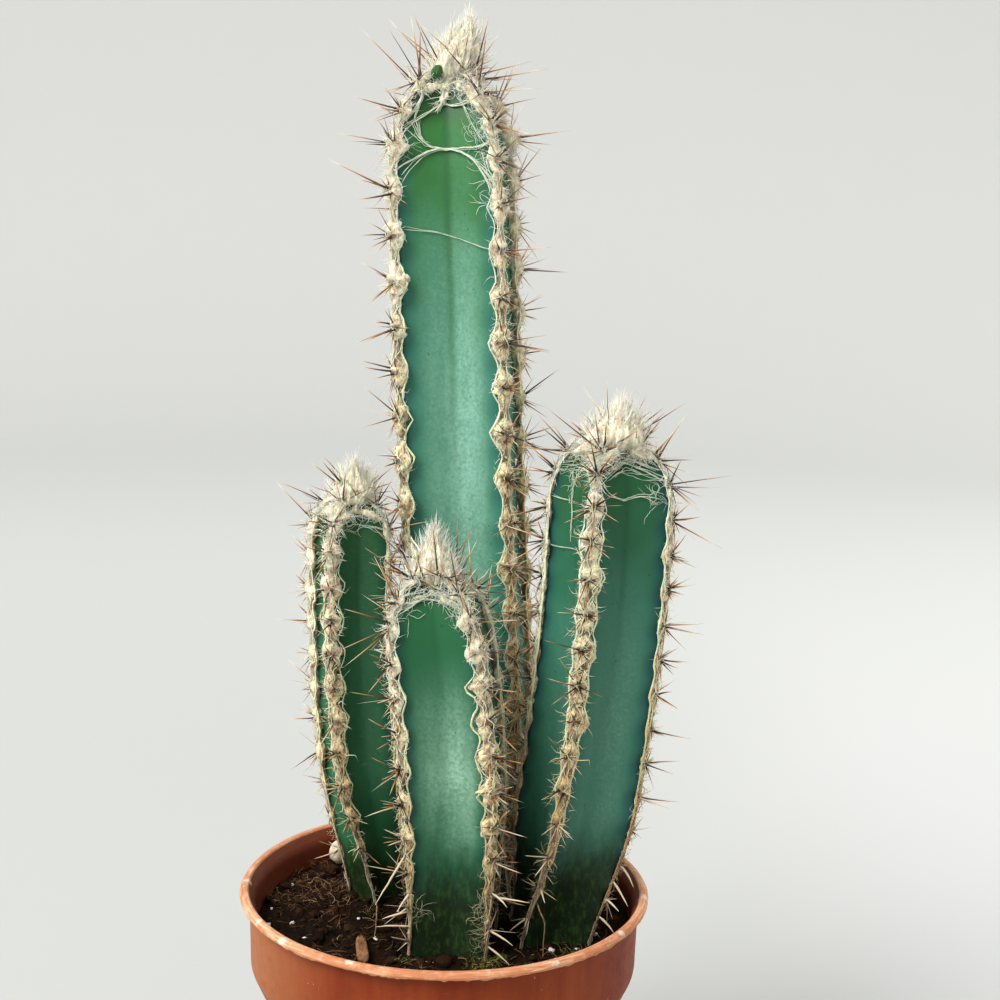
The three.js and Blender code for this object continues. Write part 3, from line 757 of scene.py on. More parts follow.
def skinFinish(name):
    stem, skin = stems[name], skins[name]
    coat = Finish("skin_" + name, Specular_IOR_Level=0.22)
    crest, rise = coat.attribute("crest"), coat.attribute("rise")
    share = rise / ((stem["top"][2] - soilLevel) * mm)
    cloud = noiseNode(coat.place, 17, 3)
    speckle = noiseNode(coat.place, 0.9, 4, 0.7)
    grain = noiseNode(coat.stretched(1, 1, 0.16), 2.6, 3, 0.6)
    level = share + 0.22 * (cloud - 0.5)
    body = coat.ramp(level, [(0.02, skin["foot"]), (0.2, skin["middle"]), (0.66, skin["middle"]),
                             (0.95, skin["top"])])
    # the bloom: a pale wax, thickest half way up and in the open part of each face
    low, high = skin["bloomFrom"], skin["bloomTo"]
    rising, falling = remap(level, low - 0.2, low + 0.14), remap(level, high - 0.16, high + 0.22, 1.0, 0.0)
    # crest counts 0 to 1 from a face's middle to a rib's edge, and half tells its two halves apart; the
    # half turned from the key lamp keeps less bloom, as painted shade
    half = remap(mathNode("FRACT", coat.attribute("rib")), 0.34, 0.6, skin["bloomOnShadedHalf"], 1.0)
    faceMiddle = remap(crest, *skin["bloomWidth"], 1.0, 0.0) * half
    powder = remap(speckle + 0.5 * cloud, 0.55, 0.95, 0.45, 1.0)
    bloom = rising * falling * faceMiddle * powder * remap(grain, 0.3, 0.7, 0.7, 1.0)
    body = coat.mix(body, skin["bloom"], bloom * skin["bloomShare"])
    # darker beside the rib edges, and painted shade along the crease where the face folds in
    body = coat.mix(body, skin["margin"], remap(crest + 0.1 * (cloud - 0.5), 0.72, 0.95) * 0.65)
    creaseShade = remap(crest + 0.08 * (grain - 0.5), 0.0, 0.24, 1.0, 0.0)
    creaseShade = creaseShade * remap(share, 0.45, 0.85, 0.12, 1.0)
    body = coat.mix(body, skin["crease"], creaseShade * skin["creaseShadeShare"])
    # the shade under the crown's wool
    body = coat.mix(body, (14, 38, 20), remap(share + 0.04 * (cloud - 0.5), 0.925, 0.975) * 0.85)
    # darker and mottled near the soil
    reach = skin["darkFoot"] * mm
    darkFoot = remap(rise + 12 * mm * (grain - 0.5) + 14 * mm * (cloud - 0.5), reach * 0.35, reach, 1.0, 0.0)
    mottle = remap(noiseNode(coat.stretched(1, 1, 0.45), 1.4, 5, 0.75), 0.45, 0.68)
    body = coat.mix(body, coat.mix((18, 32, 11), (48, 74, 28), mottle), darkFoot * 0.94)
    specks = remap(noiseNode(coat.place, 1.3, 1, 0.5), 0.72, 0.8)
    body = coat.mix(body, (24, 60, 44), specks * 0.45)
    marks = remap(noiseNode(coat.stretched(0.35, 0.35, 1), 1.1, 4, 0.7), 0.6, 0.72)
    coat.connect("Base Color", coat.mix(body, (150, 190, 160), marks * bloom * 0.3))
    coat.connect("Roughness", limit(0.4 + 0.25 * bloom + 0.2 * darkFoot + 0.12 * (speckle - 0.5)))
    return coat.bump(0.6 * grain + speckle + 0.5 * mottle * darkFoot, 0.09, 0.55)


def makeStem(recipe, name):
    stem = stems[name]
    return recipe.run("skin_" + name, bpy.data.meshes.new("stem_seed"), skinFinish(name), {
        "Foot": Vector((*stem["base"], soilLevel)), "Top": Vector(stem["top"]),
        "Bow": Vector((*stem["bow"], 0)), "Radius": stem["radius"], "Valley": stem["valley"],
        "First Rib": stem["firstRib"], "Foot Twist": stem["footTwist"], "Foot Share": stem["footShare"],
        "Swell": stem["swell"], "Dome": stem["dome"], "Depth": plantDepth, "Bulge": stem["bulge"],
        "Areole Step": stem["areoleStep"], "First Areole": soilLevel + woolStart,
        "Unevenness": sides["unevenness"], "Around": stem["around"], "Along": stem["along"]})


ribbedStem = ribbedStemRecipe()
bodies = {name: makeStem(ribbedStem, name) for name in stems}
for name, piece in bodies.items():
    settle(piece, stems[name]["slot"], "stem_" + name)


# The wool's places: along each rib's edge, areoles and the necks between them by turns.

def ageAt(stem, z):
    return clamp((stem["top"][2] - z) / (stem["top"][2] - soilLevel) * stem["weather"])


def edgeSteps(stem, rib, start, count):
    # fine steps up one rib's edge, closer near the tip, each with its frame and how far it is along
    top = Vector(stem["top"])
    heights = [lerp(start, top.z - 0.02, 1 - (1 - i / count) ** 2) for i in range(count + 1)]
    points = [axisAt(stem, z) + outward(ribTurn(stem, rib, z)) * radiusAt(stem, z) for z in heights]
    travelled = 0.0
    for before, point, after in zip(points, points[1:], points[2:]):
        travelled += (point - before).length
        along = (after - before).normalized()
        out = point - axisAt(stem, point.z)
        out = (out - along * out.dot(along)).normalized()
        yield {"point": point, "along": along, "out": out, "across": along.cross(out), "rib": rib,
               "age": ageAt(stem, point.z), "travelled": travelled,
               "fromTip": math.hypot(point.x - top.x, point.y - top.y)}


def placesAlongRib(stem, rib):
    top, places, due = Vector(stem["top"]), [], 0.0
    for step in edgeSteps(stem, rib, soilLevel + woolStart, 600):
        if step["travelled"] < due:
            continue
        point = step["point"]
        places.append({
            **step, "isAreole": (len(places) + rib) % 2 == 0,
            "vigour": smoothstep(point.z, soilLevel - 6, soilLevel + 30),
            "vary": 1 + 0.24 * noise.noise(point * 0.31), "soft": step["out"] * 0.5,
            "aside": 1.1 * noise.noise(point * 0.23 + Vector((9, 4, 2)))})
        if point.z > top.z - 3 and step["fromTip"] < stem["tuft"]["radius"] * 0.75:
            break
        inDome = point.z > top.z - stem["dome"] * 0.7
        due = step["travelled"] + stem["areoleStep"] / 2 * (0.75 if inDome else 1)
    return places


def placesMesh(name, places, lift=0.0, size=None, comb=None, keep=1.0):
    return makeMesh(name, [p["point"] + p["out"] * lift for p in places], attributes={
        "out": [p["out"] for p in places], "along": [p["along"] for p in places],
        "age": [p["age"] for p in places],
        "size": [size(p) if size else lerp(0.45, 1, p.get("vigour", 1.0)) for p in places],
        "keep": [lerp(0.12, keep, p.get("vigour", 1.0)) for p in places],
        "comb": [comb(p) if comb else Vector() for p in places],
        "soft": [p.get("soft", Vector()) for p in places],
    })


# Strands: one metre long along +Z, to be scaled down to their length in place.

def strandMesh(name, around, rings, middle, radius):
    points, tips = [], []
    for ring in range(rings):
        share = ring / rings
        centre = Vector((*middle(share), share))
        for side in range(around):
            turn = fullTurn * side / around
            points.append(centre + Vector((math.cos(turn), math.sin(turn), 0)) * radius(share))
            tips.append(share)
    points.append(Vector((*middle(1.0), 1.0)))
    tips.append(1.0)
    faces = ringFaces(rings, around) + fanFaces((rings - 1) * around, around, len(points) - 1)
    faces.append(tuple(range(around))[::-1])
    return makeMesh(name, points, faces, attributes={"tip": tips}, unit=1.0)


def kindsOf(name, meshes):
    kinds = bpy.data.collections.new(name)
    for mesh in meshes:
        kinds.objects.link(bpy.data.objects.new(mesh.name, mesh))
    return kinds


def spineKinds(bows):
    def shape(k, bow):
        return strandMesh(f"spine_{k}", 4, 4, lambda s: (bow * s * s, 0.6 * bow * s * (1 - s)),
                          lambda s: 1.2 * (1 - s) ** 0.6 if s < 0.1 else (1 - s) ** 0.6)
    return kindsOf("spine_kinds", [shape(k, bow) for k, bow in enumerate(bows)])


def hairKinds(name, curl, waves, radius, rings, seed, around=3):
    draw, turn = random.Random(seed), 6.28
    kinds = []
    for k in range(5):
        first, second = draw.random() * turn, draw.random() * turn
        pace = waves * (0.7 + 0.6 * draw.random())

        def middle(s, first=first, second=second, pace=pace):
            reach = curl * s ** 0.8
            return (reach * (math.sin(first + pace * s * turn) - math.sin(first) * (1 - s)),
                    reach * (math.cos(second + 0.8 * pace * s * turn) - math.cos(second) * (1 - s)))
        kinds.append(strandMesh(f"{name}_{k}", around, rings, middle, lambda s: radius * (1 - 0.75 * s)))
    return kindsOf(name, kinds)


def bristleRecipe():
    # bristles out of each place, turned evenly round it, cut short of what stands in their way
    recipe = Recipe("bristles")
    kinds, obstacles = recipe.input("Kinds", "Collection"), recipe.input("Obstacles", "Object")
    count, seed = recipe.inputs("Count, Seed", "Int")
    tiltLow, tiltHigh = recipe.inputs("Least Tilt, Most Tilt", unit="angle")
    lengthLow, lengthHigh, thickness = recipe.inputs("Shortest, Longest, Thickness", unit="length")
    spread, clearance = recipe.inputs("Root Spread, Clearance", unit="length")
    widening, unevenness = recipe.inputs("Widening, Unevenness")

    marked = recipe.store(recipe.geometry, "firstTurn", recipe.chance(0.0, fullTurn, seed))
    inputs = {"Geometry": marked, "Amount": count}
    copies = recipe.add("GeometryNodeDuplicateElements", inputs, domain="POINT")
    number = otherOutput(copies, "Duplicate Index")
    out, along = recipe.vector("out"), recipe.vector("along")
    across = vectorNode("CROSS_PRODUCT", along, out)
    shaken = number + unevenness * recipe.chance(-1.0, 1.0, seed + 1)
    turn = recipe.named("firstTurn") + shaken * fullTurn / count
    tilt = recipe.chance(tiltLow, tiltHigh, seed + 2)
    sideways = across * mathNode("COSINE", turn) + along * mathNode("SINE", turn)
    bent = out * mathNode("COSINE", tilt) + sideways * mathNode("SINE", tilt)
    direction = vectorNode("NORMALIZE", bent + recipe.vector("comb"))
    size = recipe.named("size")
    length = (lengthLow + (lengthHigh - lengthLow) * recipe.chance(0.0, 1.0, seed + 3) ** 1.4) * size
    rootShift = sideways * (spread * size * recipe.chance(0.1, 1.0, seed + 4))
    copies = recipe.store(copies, "way", direction, "FLOAT_VECTOR")
    copies = recipe.store(copies, "reach", length)
    moved = recipe.move(copies, rootShift)

    direction, length = recipe.vector("way"), recipe.named("reach")
    blocked = recipe.add("GeometryNodeObjectInfo", {"Object": obstacles}, output="Geometry")
    inputs = {"Target Geometry": blocked, "Ray Direction": direction, "Ray Length": length + clearance}
    hit = recipe.add("GeometryNodeRaycast", inputs, output="Is Hit")
    reach = length * (1 - hit) + (otherOutput(hit, "Hit Distance") - clearance) * hit
    kept = mathNode("LESS_THAN", recipe.chance(0.0, 1.0, seed + 9), recipe.named("keep"))
    longEnough = mathNode("GREATER_THAN", reach, lengthLow * size * 0.45) * kept
    wide = (thickness * (1 - widening) + reach * widening) * recipe.chance(0.75, 1.2, seed + 6)
    return recipe.finish(recipe.scatter(moved, kinds, seed + 7, {
        "Selection": longEnough, "Rotation": recipe.turnedTo(direction, seed + 5),
        "Scale": combined(X=wide, Y=wide, Z=reach)}))


def feltRecipe():
    # strips of matted felt along drawn lines: pressed flat, wrapped over the rib, and clumped
    recipe = Recipe("felt_cords")
    around, flat = recipe.input("Sides", "Int"), recipe.input("Flat")
    clumps, grain = recipe.inputs("Clumps, Grain", unit="length")
    wrap = recipe.input("Wrap", unit="bend")
    place, normal = recipe.place, recipe.normal
    marked = recipe.store(recipe.geometry, "centre", place, "FLOAT_VECTOR")
    tube = recipe.tube(recipe.add("GeometryNodeMeshToCurve", {"Mesh": marked}), around)
    out, offset = recipe.vector("out"), place - recipe.vector("centre")
    height = vectorNode("DOT_PRODUCT", offset, out)
    sideways = vectorNode("LENGTH", offset - out * height)
    pressed = out * (height * flat - height - wrap * sideways * sideways)
    far, large = cellNode(place, 1.9), noiseNode(place, 3.0, 2, 0.6) - 0.5
    tufts = 0.4 - cellNode(place, 0.85)
    fibres = noiseNode(vectorNode("MULTIPLY", place, (1.0, 1.0, 0.5)), 0.9, 3, 0.7) - 0.5
    rough = normal * ((0.45 - far + large) * clumps + (fibres + 0.6 * tufts) * grain)
    # this mask is 1 in the hollows, where it is painted shade, and at the areoles' hearts and between them,
    # where brown and green show through
    facing = vectorNode("DOT_PRODUCT", normal, out)
    hollowShade = remap(far - 0.5 * large + 0.7 * fibres, 0.44, 0.72)
    neck = remap(recipe.named("lobe") + 1.6 * large, 0.02, 0.36, 1.0, 0.0)
    heart = recipe.named("heart") * remap(facing + 0.8 * fibres, 0.5, 0.95)
    stored = recipe.store(tube, "bare", limit(0.8 * hollowShade + 0.85 * neck + heart))
    stored = recipe.store(stored, "matted", 1.0)
    return recipe.finish(recipe.move(stored, pressed + rough))


def fuzzRecipe():
    # short loose hairs all over the outer side of the felt, longer and denser at the crown
    recipe = Recipe("fuzz")
    kinds, seed = recipe.input("Kinds", "Collection"), recipe.input("Seed", "Int")
    density = recipe.input("Density", unit="density")
    shortest, longest, thickness = recipe.inputs("Shortest, Longest, Thickness", unit="length")
    out = recipe.vector("out")
    facing = vectorNode("DOT_PRODUCT", recipe.normal, out)
    crown = remap(recipe.named("age"), 0.0, 0.2, 1.0, 0.0)
    strewn = recipe.add("GeometryNodeDistributePointsOnFaces", {
        "Mesh": recipe.geometry, "Selection": mathNode("GREATER_THAN", facing, -0.15),
        "Density": density * (1 + 2.8 * crown), "Seed": seed})
    loose = recipe.chance((-1.1, -1.1, -1.1), (1.1, 1.1, 1.1), seed + 1, "FLOAT_VECTOR")
    direction = vectorNode("NORMALIZE", otherOutput(strewn, "Normal") + loose
                           + recipe.vector("comb"))
    length = shortest + (longest - shortest) * recipe.chance(0.0, 1.0, seed + 3) ** 1.6
    wide = thickness * recipe.chance(0.7, 1.3, seed + 4)
    hairs = recipe.scatter(strewn, kinds, seed + 5, {
        "Rotation": recipe.turnedTo(direction, seed + 2),
        "Scale": combined(X=wide, Y=wide, Z=length * (1 + 0.6 * crown))})
    for label in ("bare", "matted"):
        hairs = recipe.store(hairs, label, 0.0, domain="INSTANCE")
    return recipe.finish(recipe.store(hairs, "soft", out * 0.5, "FLOAT_VECTOR", "INSTANCE"))


def threadRecipe():
    # thin felted threads along drawn lines
    recipe = Recipe("threads")
    around, jitter = recipe.input("Sides", "Int"), recipe.input("Jitter", unit="length")
    line = recipe.add("GeometryNodeMeshToCurve", {"Mesh": recipe.geometry})
    shifted = recipe.move(line, wanderNode(recipe.place, 1.6) * jitter)
    stored = recipe.store(shifted, "tip", recipe.add("GeometryNodeSplineParameter", output="Factor"))
    return recipe.finish(recipe.tube(stored, around))


def woolFinish():
    coat = Finish("plant_wool", Roughness=0.9, Sheen_Weight=0.5, Sheen_Roughness=0.6,
                  Specular_IOR_Level=0.1, Subsurface_Weight=0.5, Subsurface_Scale=0.002)
    age, tone, bare = coat.attribute("age"), coat.attribute("tone"), coat.attribute("bare")
    patch = noiseNode(coat.place, 3.4, 3, 0.6)
    fibres, fine = noiseNode(coat.stretched(1, 1, 0.4), 0.7, 2, 0.6), noiseNode(coat.place, 0.42, 2, 0.6)
    level = age + 0.2 * (tone - 0.5) + 0.4 * (patch - 0.5)
    streaks = noiseNode(coat.stretched(1, 1, 0.12), 0.36, 2, 0.6)
    body = coat.ramp(level, [
        (0.0, pale(255, 244, 216)), (0.2, pale(255, 237, 198)), (0.5, pale(250, 226, 176)),
        (0.76, pale(222, 186, 130)), (0.9, pale(176, 138, 84)), (1.0, pale(120, 88, 48))])
    young = remap(age, 0.04, 0.14, 0.4, 0.0)
    body = coat.mix(body, pale(226, 194, 144), remap(streaks, 0.52, 0.64) * young)
    # brown and green where the felt is bare: painted shade in its hollows, and skin and old wool showing
    # through at the areoles and between them; and dark flecks of old wool
    worn = coat.mix((96, 58, 26), (56, 64, 28), remap(patch, 0.42, 0.58))
    worn = coat.mix((112, 116, 70), worn, remap(age, 0.03, 0.2))
    body = coat.mix(body, worn, bare * remap(age, 0.0, 0.35, 0.45, 0.92))
    flecks = limit(remap(fine, 0.57, 0.66) + remap(fibres, 0.58, 0.68)) * coat.attribute("matted")
    body = coat.mix(body, (108, 76, 38), flecks * remap(age, 0.0, 0.5, 0.32, 0.75))
    coat.connect("Base Color", coat.mix(body, (128, 154, 112), limit(coat.attribute("dim")) * 0.6))
    bumps = {"Height": fine + fibres + 0.8 * streaks, "Distance": 0.22 * mm, "Strength": 0.9}
    # wool is lit as a soft body more than hair by hair
    rough = coat.add("ShaderNodeBump", bumps) + coat.attribute("soft", "Vector")
    coat.connect("Normal", vectorNode("NORMALIZE", rough))
    return coat.material


def spineFinish():
    # dark at the root, amber half way up, pale at the tip, and weathered pale low on the stem
    coat = Finish("spine", Roughness=0.42, Specular_IOR_Level=0.5)
    age, tone, tip = coat.attribute("age"), coat.attribute("tone"), coat.attribute("tip")
    level = tip + 0.5 * (tone - 0.5) + 0.12 * (noiseNode(coat.place, 2.0, 2) - 0.5)
    body = coat.ramp(level, [(0.0, (38, 24, 16)), (0.26, (78, 46, 27)), (0.48, (158, 104, 54)),
                             (0.74, (210, 170, 110)), (1.0, (244, 234, 212))])
    weathered = remap(age + 0.5 * (tone - 0.5), 0.72, 1.0)
    coat.connect("Base Color", coat.mix(body, (232, 214, 178), weathered * 0.85))
    return coat.bump(noiseNode(coat.place, 0.5, 2), 0.03, 0.4)


bristles, felts, fuzzes, threads = bristleRecipe(), feltRecipe(), fuzzRecipe(), threadRecipe()
wool, spineCoat = woolFinish(), spineFinish()
spineShapes = spineKinds((1.0, -1.6, 2.4))
# each kind of hair: how far it curls, its waves, radius and rings, its seed, and its sides if not three
curlyHairs = hairKinds("curly_hair", 0.22, 1.2, 0.022, 3, 4)
thickHairs = hairKinds("thick_hair", 0.24, 0.9, 0.036, 3, 6)
fuzzHairs = hairKinds("fuzz_hair", 5.0, 0.4, 1.0, 2, 17)
combedHairs = hairKinds("combed_hair", 0.12, 0.9, 0.018, 3, 5)
lockShapes = hairKinds("lock", 0.1, 0.6, 0.055, 6, 11, 4)


def mergedCopy(name, pieces):
    points, faces = [], []
    for piece in pieces:
        first = len(points)
        points.extend(vertex.co.copy() for vertex in piece.data.vertices)
        faces.extend(tuple(first + v for v in face.vertices) for face in piece.data.polygons)
    return bpy.data.objects.new(name, makeMesh(name, points, faces, unit=1.0))


# The soil: a rough plug with a hole round each stem, strewn with crumbs, fibres and white grains.

ground = {
    "inset": 0.3, "rings": 72, "around": 220, "clods": 1.0, "grit": 0.5,
    "dark": (8, 6, 4), "brown": (42, 26, 16), "tan": (142, 106, 64),
    "pebble": {"centre": (-30.2, 31.2, 86.7), "size": (2.7, 2.4, 3.2)},
    "chip": {"centre": (-19.5, -23), "size": (3.2, 8, 1.3), "slope": 22, "turn": 12, "rise": 0.6},
    # patches of tangled fibres and of moss: the middle, how far they reach and how dense they are
    "tangles": [(-35, 14, 13, 0.5), (-34, 15, 8, 0.5), (-38, 3, 6, 0.3), (-30, -4, 5, 0.3),
                (-38, 27, 6, 0.3), (26, -24, 4, 0.5), (-22, -22, 6, 0.22), (-4, -38, 8, 0.15)],
    "moss": [(-9, -26, 2.4, 1.3), (10.5, -27, 4.2, 1.4), (15, -24, 2.6, 1.4), (33.3, -19.5, 3.4, 1.2),
             (-19, 1, 2.2, 1.2)],
}


def chipNormal():
    slope, turn = math.radians(ground["chip"]["slope"]), math.radians(ground["chip"]["turn"])
    return Vector((math.sin(slope) * math.sin(turn), -math.sin(slope) * math.cos(turn), math.cos(slope)))


def soilHeight(x, y):
    ripples = (0.45 * math.sin(x * 0.31 + 1.3) * math.cos(y * 0.27 - 0.4)
               + 0.3 * math.sin(x * 0.83 - y * 0.61) + 0.2 * math.cos(x * 0.47 + y * 1.07 + 2))
    near = any(math.hypot(x - s["base"][0], y - s["base"][1]) < s["radius"] * s["footShare"] + 3
               for s in stems.values())
    level = soilLevel - 0.5 + (0.4 if near else 1) * ripples + 0.0004 * (x * x + y * y)
    # a seat for the pebble, and a slope that the chip lies on
    spot, size = ground["pebble"]["centre"], ground["pebble"]["size"]
    level = lerp(spot[2] - size[2] - 0.3, level, smoothstep(math.hypot(x - spot[0], y - spot[1]), 3.5, 9))
    middle, normal = ground["chip"]["centre"], chipNormal()
    east, north = x - middle[0], y - middle[1]
    plane = soilLevel + ground["chip"]["rise"] - (normal.x * east + normal.y * north) / normal.z
    return lerp(plane, level, smoothstep(math.hypot(east, north), 5, 8.5))


def roughSoil(x, y):
    place = Vector((x, y, 0))
    clods = noise.fractal(place * 0.22, 0.9, 2.1, 3) * ground["clods"]
    grit = noise.fractal(place * 0.9 + Vector((31, 7, 0)), 0.8, 2.2, 3) * ground["grit"]
    return soilHeight(x, y) + clods + grit


def inStem(x, y):
    for stem in stems.values():
        offset = Vector((x - stem["base"][0], y - stem["base"][1], 0))
        turn = math.atan2(offset.x, -offset.y) - ribTurn(stem, 0, soilLevel)
        fromEdge = abs((turn / quarter + 0.5) % 1 - 0.5) * quarter
        if offset.length < radiusAt(stem, soilLevel) * sectionShare(stem, fromEdge) + 0.2:
            return True
    return False


def soilMesh():
    inner = pot["wall"] + ground["inset"]
    around, rings = ground["around"], ground["rings"]
    levels = [(pot["base"] - inner, pot["floor"] + 0.3), (pot["shoulder"] - inner, pot["shoulderFoot"]),
              (pot["collarBottom"] - inner, pot["collarFoot"])]
    levels += [((pot["collarTop"] - inner) * (1 - i / rings), None) for i in range(rings)]
    points = []
    for radius, level in levels:
        for i in range(around):
            turn = fullTurn * i / around
            x, y = radius * math.cos(turn), radius * math.sin(turn)
            top = soilLevel - plantDepth if inStem(x, y) else roughSoil(x, y)
            points.append((x, y, top if level is None else level))
    points.append((0, 0, roughSoil(0, 0)))
    faces = ringFaces(len(levels), around) + fanFaces((len(levels) - 1) * around, around, len(points) - 1)
    faces.append(tuple(range(around))[::-1])
    return makeMesh("soil_top", points, faces)


def soilFinish(name, paleness):
    coat = Finish(name, Roughness=0.98, Specular_IOR_Level=0.06)
    clods, grit = noiseNode(coat.place, 5, 4, 0.7), noiseNode(coat.place, 0.8, 4, 0.75)
    level = limit(0.55 * clods + 0.5 * grit - 0.25 + paleness * coat.attribute("tone"))
    coat.connect("Base Color", coat.ramp(level, [(0.15, ground["dark"]), (0.42, ground["brown"]),
                                                 (0.68, (66, 43, 24)), (0.98, ground["tan"])]))
    return coat.bump(grit + 0.6 * clods, 0.5, 0.9)


def tonedFinish(name, roughness, shine, size, sway, stops):
    # each fibre has its own tone, blurred by a cloud
    coat = Finish(name, Roughness=roughness, Specular_IOR_Level=shine)
    level = coat.attribute("tone") + sway * (noiseNode(coat.place, size, 2) - 0.5)
    coat.connect("Base Color", coat.ramp(level, stops))
    return coat.material


def grainFinish():
    coat = Finish("white_grain", Roughness=0.8)
    shade = noiseNode(coat.place, 0.6, 3)
    coat.connect("Base Color", coat.mix((216, 208, 194), (244, 240, 232), shade))
    return coat.bump(shade, 0.1, 0.8)


def litterRecipe():
    # crumbs and fibres strewn over the soil, turned every way and partly sunk in
    recipe = Recipe("litter")
    kinds, seed = recipe.input("Kinds", "Collection"), recipe.input("Seed", "Int")
    middle, lying = recipe.input("Middle", "Vector", "length"), recipe.input("Lying")
    density = recipe.input("Density", unit="density")
    small, large, lift = recipe.inputs("Smallest, Largest, Lift", unit="length")
    lowest, widest = recipe.inputs("Lowest, Widest", unit="length")
    fromMiddle = vectorNode("LENGTH", levelled(recipe.place - middle))
    onTop = mathNode("GREATER_THAN", axisOf(recipe.place, "Z"), lowest)
    onTop = onTop * mathNode("LESS_THAN", fromMiddle, widest)
    strewn = recipe.add("GeometryNodeDistributePointsOnFaces", {
        "Mesh": recipe.geometry, "Selection": onTop, "Density": density, "Seed": seed})
    raised = recipe.move(strewn, combined(Z=lift * recipe.chance(0.3, 1.0, seed + 1)))
    turn = combined(X=(math.pi / 2 * lying) + recipe.chance(-0.3, 0.3, seed + 3),
                    Y=recipe.chance(-0.3, 0.3, seed + 4), Z=recipe.chance(0.0, fullTurn, seed + 2))
    return recipe.finish(recipe.scatter(raised, kinds, seed + 6, {
        "Rotation": recipe.add("FunctionNodeEulerToRotation", {0: turn}),
        "Scale": small + (large - small) * recipe.chance(0.0, 1.0, seed + 5) ** 2.2}))


def crumbKinds(label, count, subdivisions, seed):
    def crumb(k):
        shift = Vector(((seed + k) * 9.1, (seed + k) * 3.7, 0))

        def moved(co):
            co = co * (1 + 0.75 * noise.noise(co * 2.6 + shift))
            co.z *= 0.7
            return co
        return ballMesh(f"{label}_{k}", subdivisions, 0.5, moved)
    return kindsOf(label + "_crumbs", [crumb(k) for k in range(count)])


def strewSoil(soilPiece):
    litter, reach = litterRecipe(), pot["collarTop"] - pot["wall"] - ground["inset"]

    def strew(label, coat, kinds, seed, density, sizes, lift, lying=0.0, widest=reach - 1.2, middle=(0, 0)):
        return litter.run(label, soilPiece.data.copy(), coat, {
            "Lowest": soilLevel - 5, "Lying": lying, "Widest": widest, "Middle": Vector((*middle, 0)),
            "Kinds": kinds, "Seed": seed, "Density": density, "Smallest": sizes[0],
            "Largest": sizes[1], "Lift": lift})

    def strewPatches(label, coat, seed, sizes, lift, lying, patches):
        return [strew(label, coat, curledFibres, seed + k, density, sizes, lift, lying, wide, (x, y))
                for k, (x, y, wide, density) in enumerate(patches)]

    crumbCoat = soilFinish("soil_crumb", 0.28)
    fine = strew("crumbs_fine", crumbCoat, crumbKinds("fine", 5, 1, 0), 3, 0.2, (0.35, 1.7), 0.15)
    coarse = strew("crumbs_coarse", crumbCoat, crumbKinds("coarse", 6, 2, 20), 5, 0.026, (1.2, 4.4), 0.5)
    settle(joinPieces("soil_crumbs", [fine, coarse]), "potting_soil")
    curledFibres = hairKinds("curled_fibre", 0.34, 0.9, 0.024, 5, 18)
    fibreCoat = tonedFinish("soil_fibre", 0.85, 0.2, 2, 0.3, [
        (0.0, (58, 36, 22)), (0.55, (112, 76, 44)), (0.85, (172, 132, 84)), (1.0, (206, 176, 128))])
    straight = hairKinds("fibre", 0.16, 0.6, 0.016, 7, 8)
    fibres = strew("soil_fibres", fibreCoat, straight, 9, 0.05, (2.2, 9.0), 0.9, 1.0, reach - 5)
    tangles = strewPatches("tangle", fibreCoat, 60, (0.9, 4.6), 1.5, 1.0, ground["tangles"])
    settle(joinPieces("soil_fibres", [fibres, *tangles]), "potting_soil")
    mossCoat = tonedFinish("moss", 0.9, 0.15, 1.5, 0.5, [
        (0.0, (92, 104, 34)), (0.5, (140, 144, 62)), (1.0, (196, 190, 120))])
    moss = strewPatches("moss_tuft", mossCoat, 80, (1.0, 3.4), 0.8, 0.7, ground["moss"])
    settle(joinPieces("soil_moss", moss), "potting_soil")
    perlite = crumbKinds("perlite", 4, 2, 40)
    settle(strew("soil_perlite", grainFinish(), perlite, 21, 0.0042, (0.7, 1.7), 0.6), "potting_soil")


def pebbleMesh():
    centre, size = Vector(ground["pebble"]["centre"]), Vector(ground["pebble"]["size"])

    def moved(co):
        form = 1 + 0.14 * noise.noise(co * 1.3 + Vector((4, 0, 0))) + 0.03 * noise.noise(co * 6)
        return (centre + co * size * form) * mm
    return ballMesh("pebble_stone", 5, 1.0, moved)


def pebbleFinish():
    coat = Finish("beige_stone", Roughness=0.85, Specular_IOR_Level=0.25)
    cloud, grain = noiseNode(coat.place, 2.4, 4), noiseNode(coat.place, 0.35, 4, 0.7)
    body = coat.mix((214, 194, 162), (246, 232, 206), remap(cloud + 0.3 * grain, 0.5, 0.8))
    coat.connect("Base Color", coat.mix(body, (120, 92, 66), remap(grain, 0.62, 0.75) * 0.5))
    return coat.bump(grain + cloud, 0.12, 0.7)


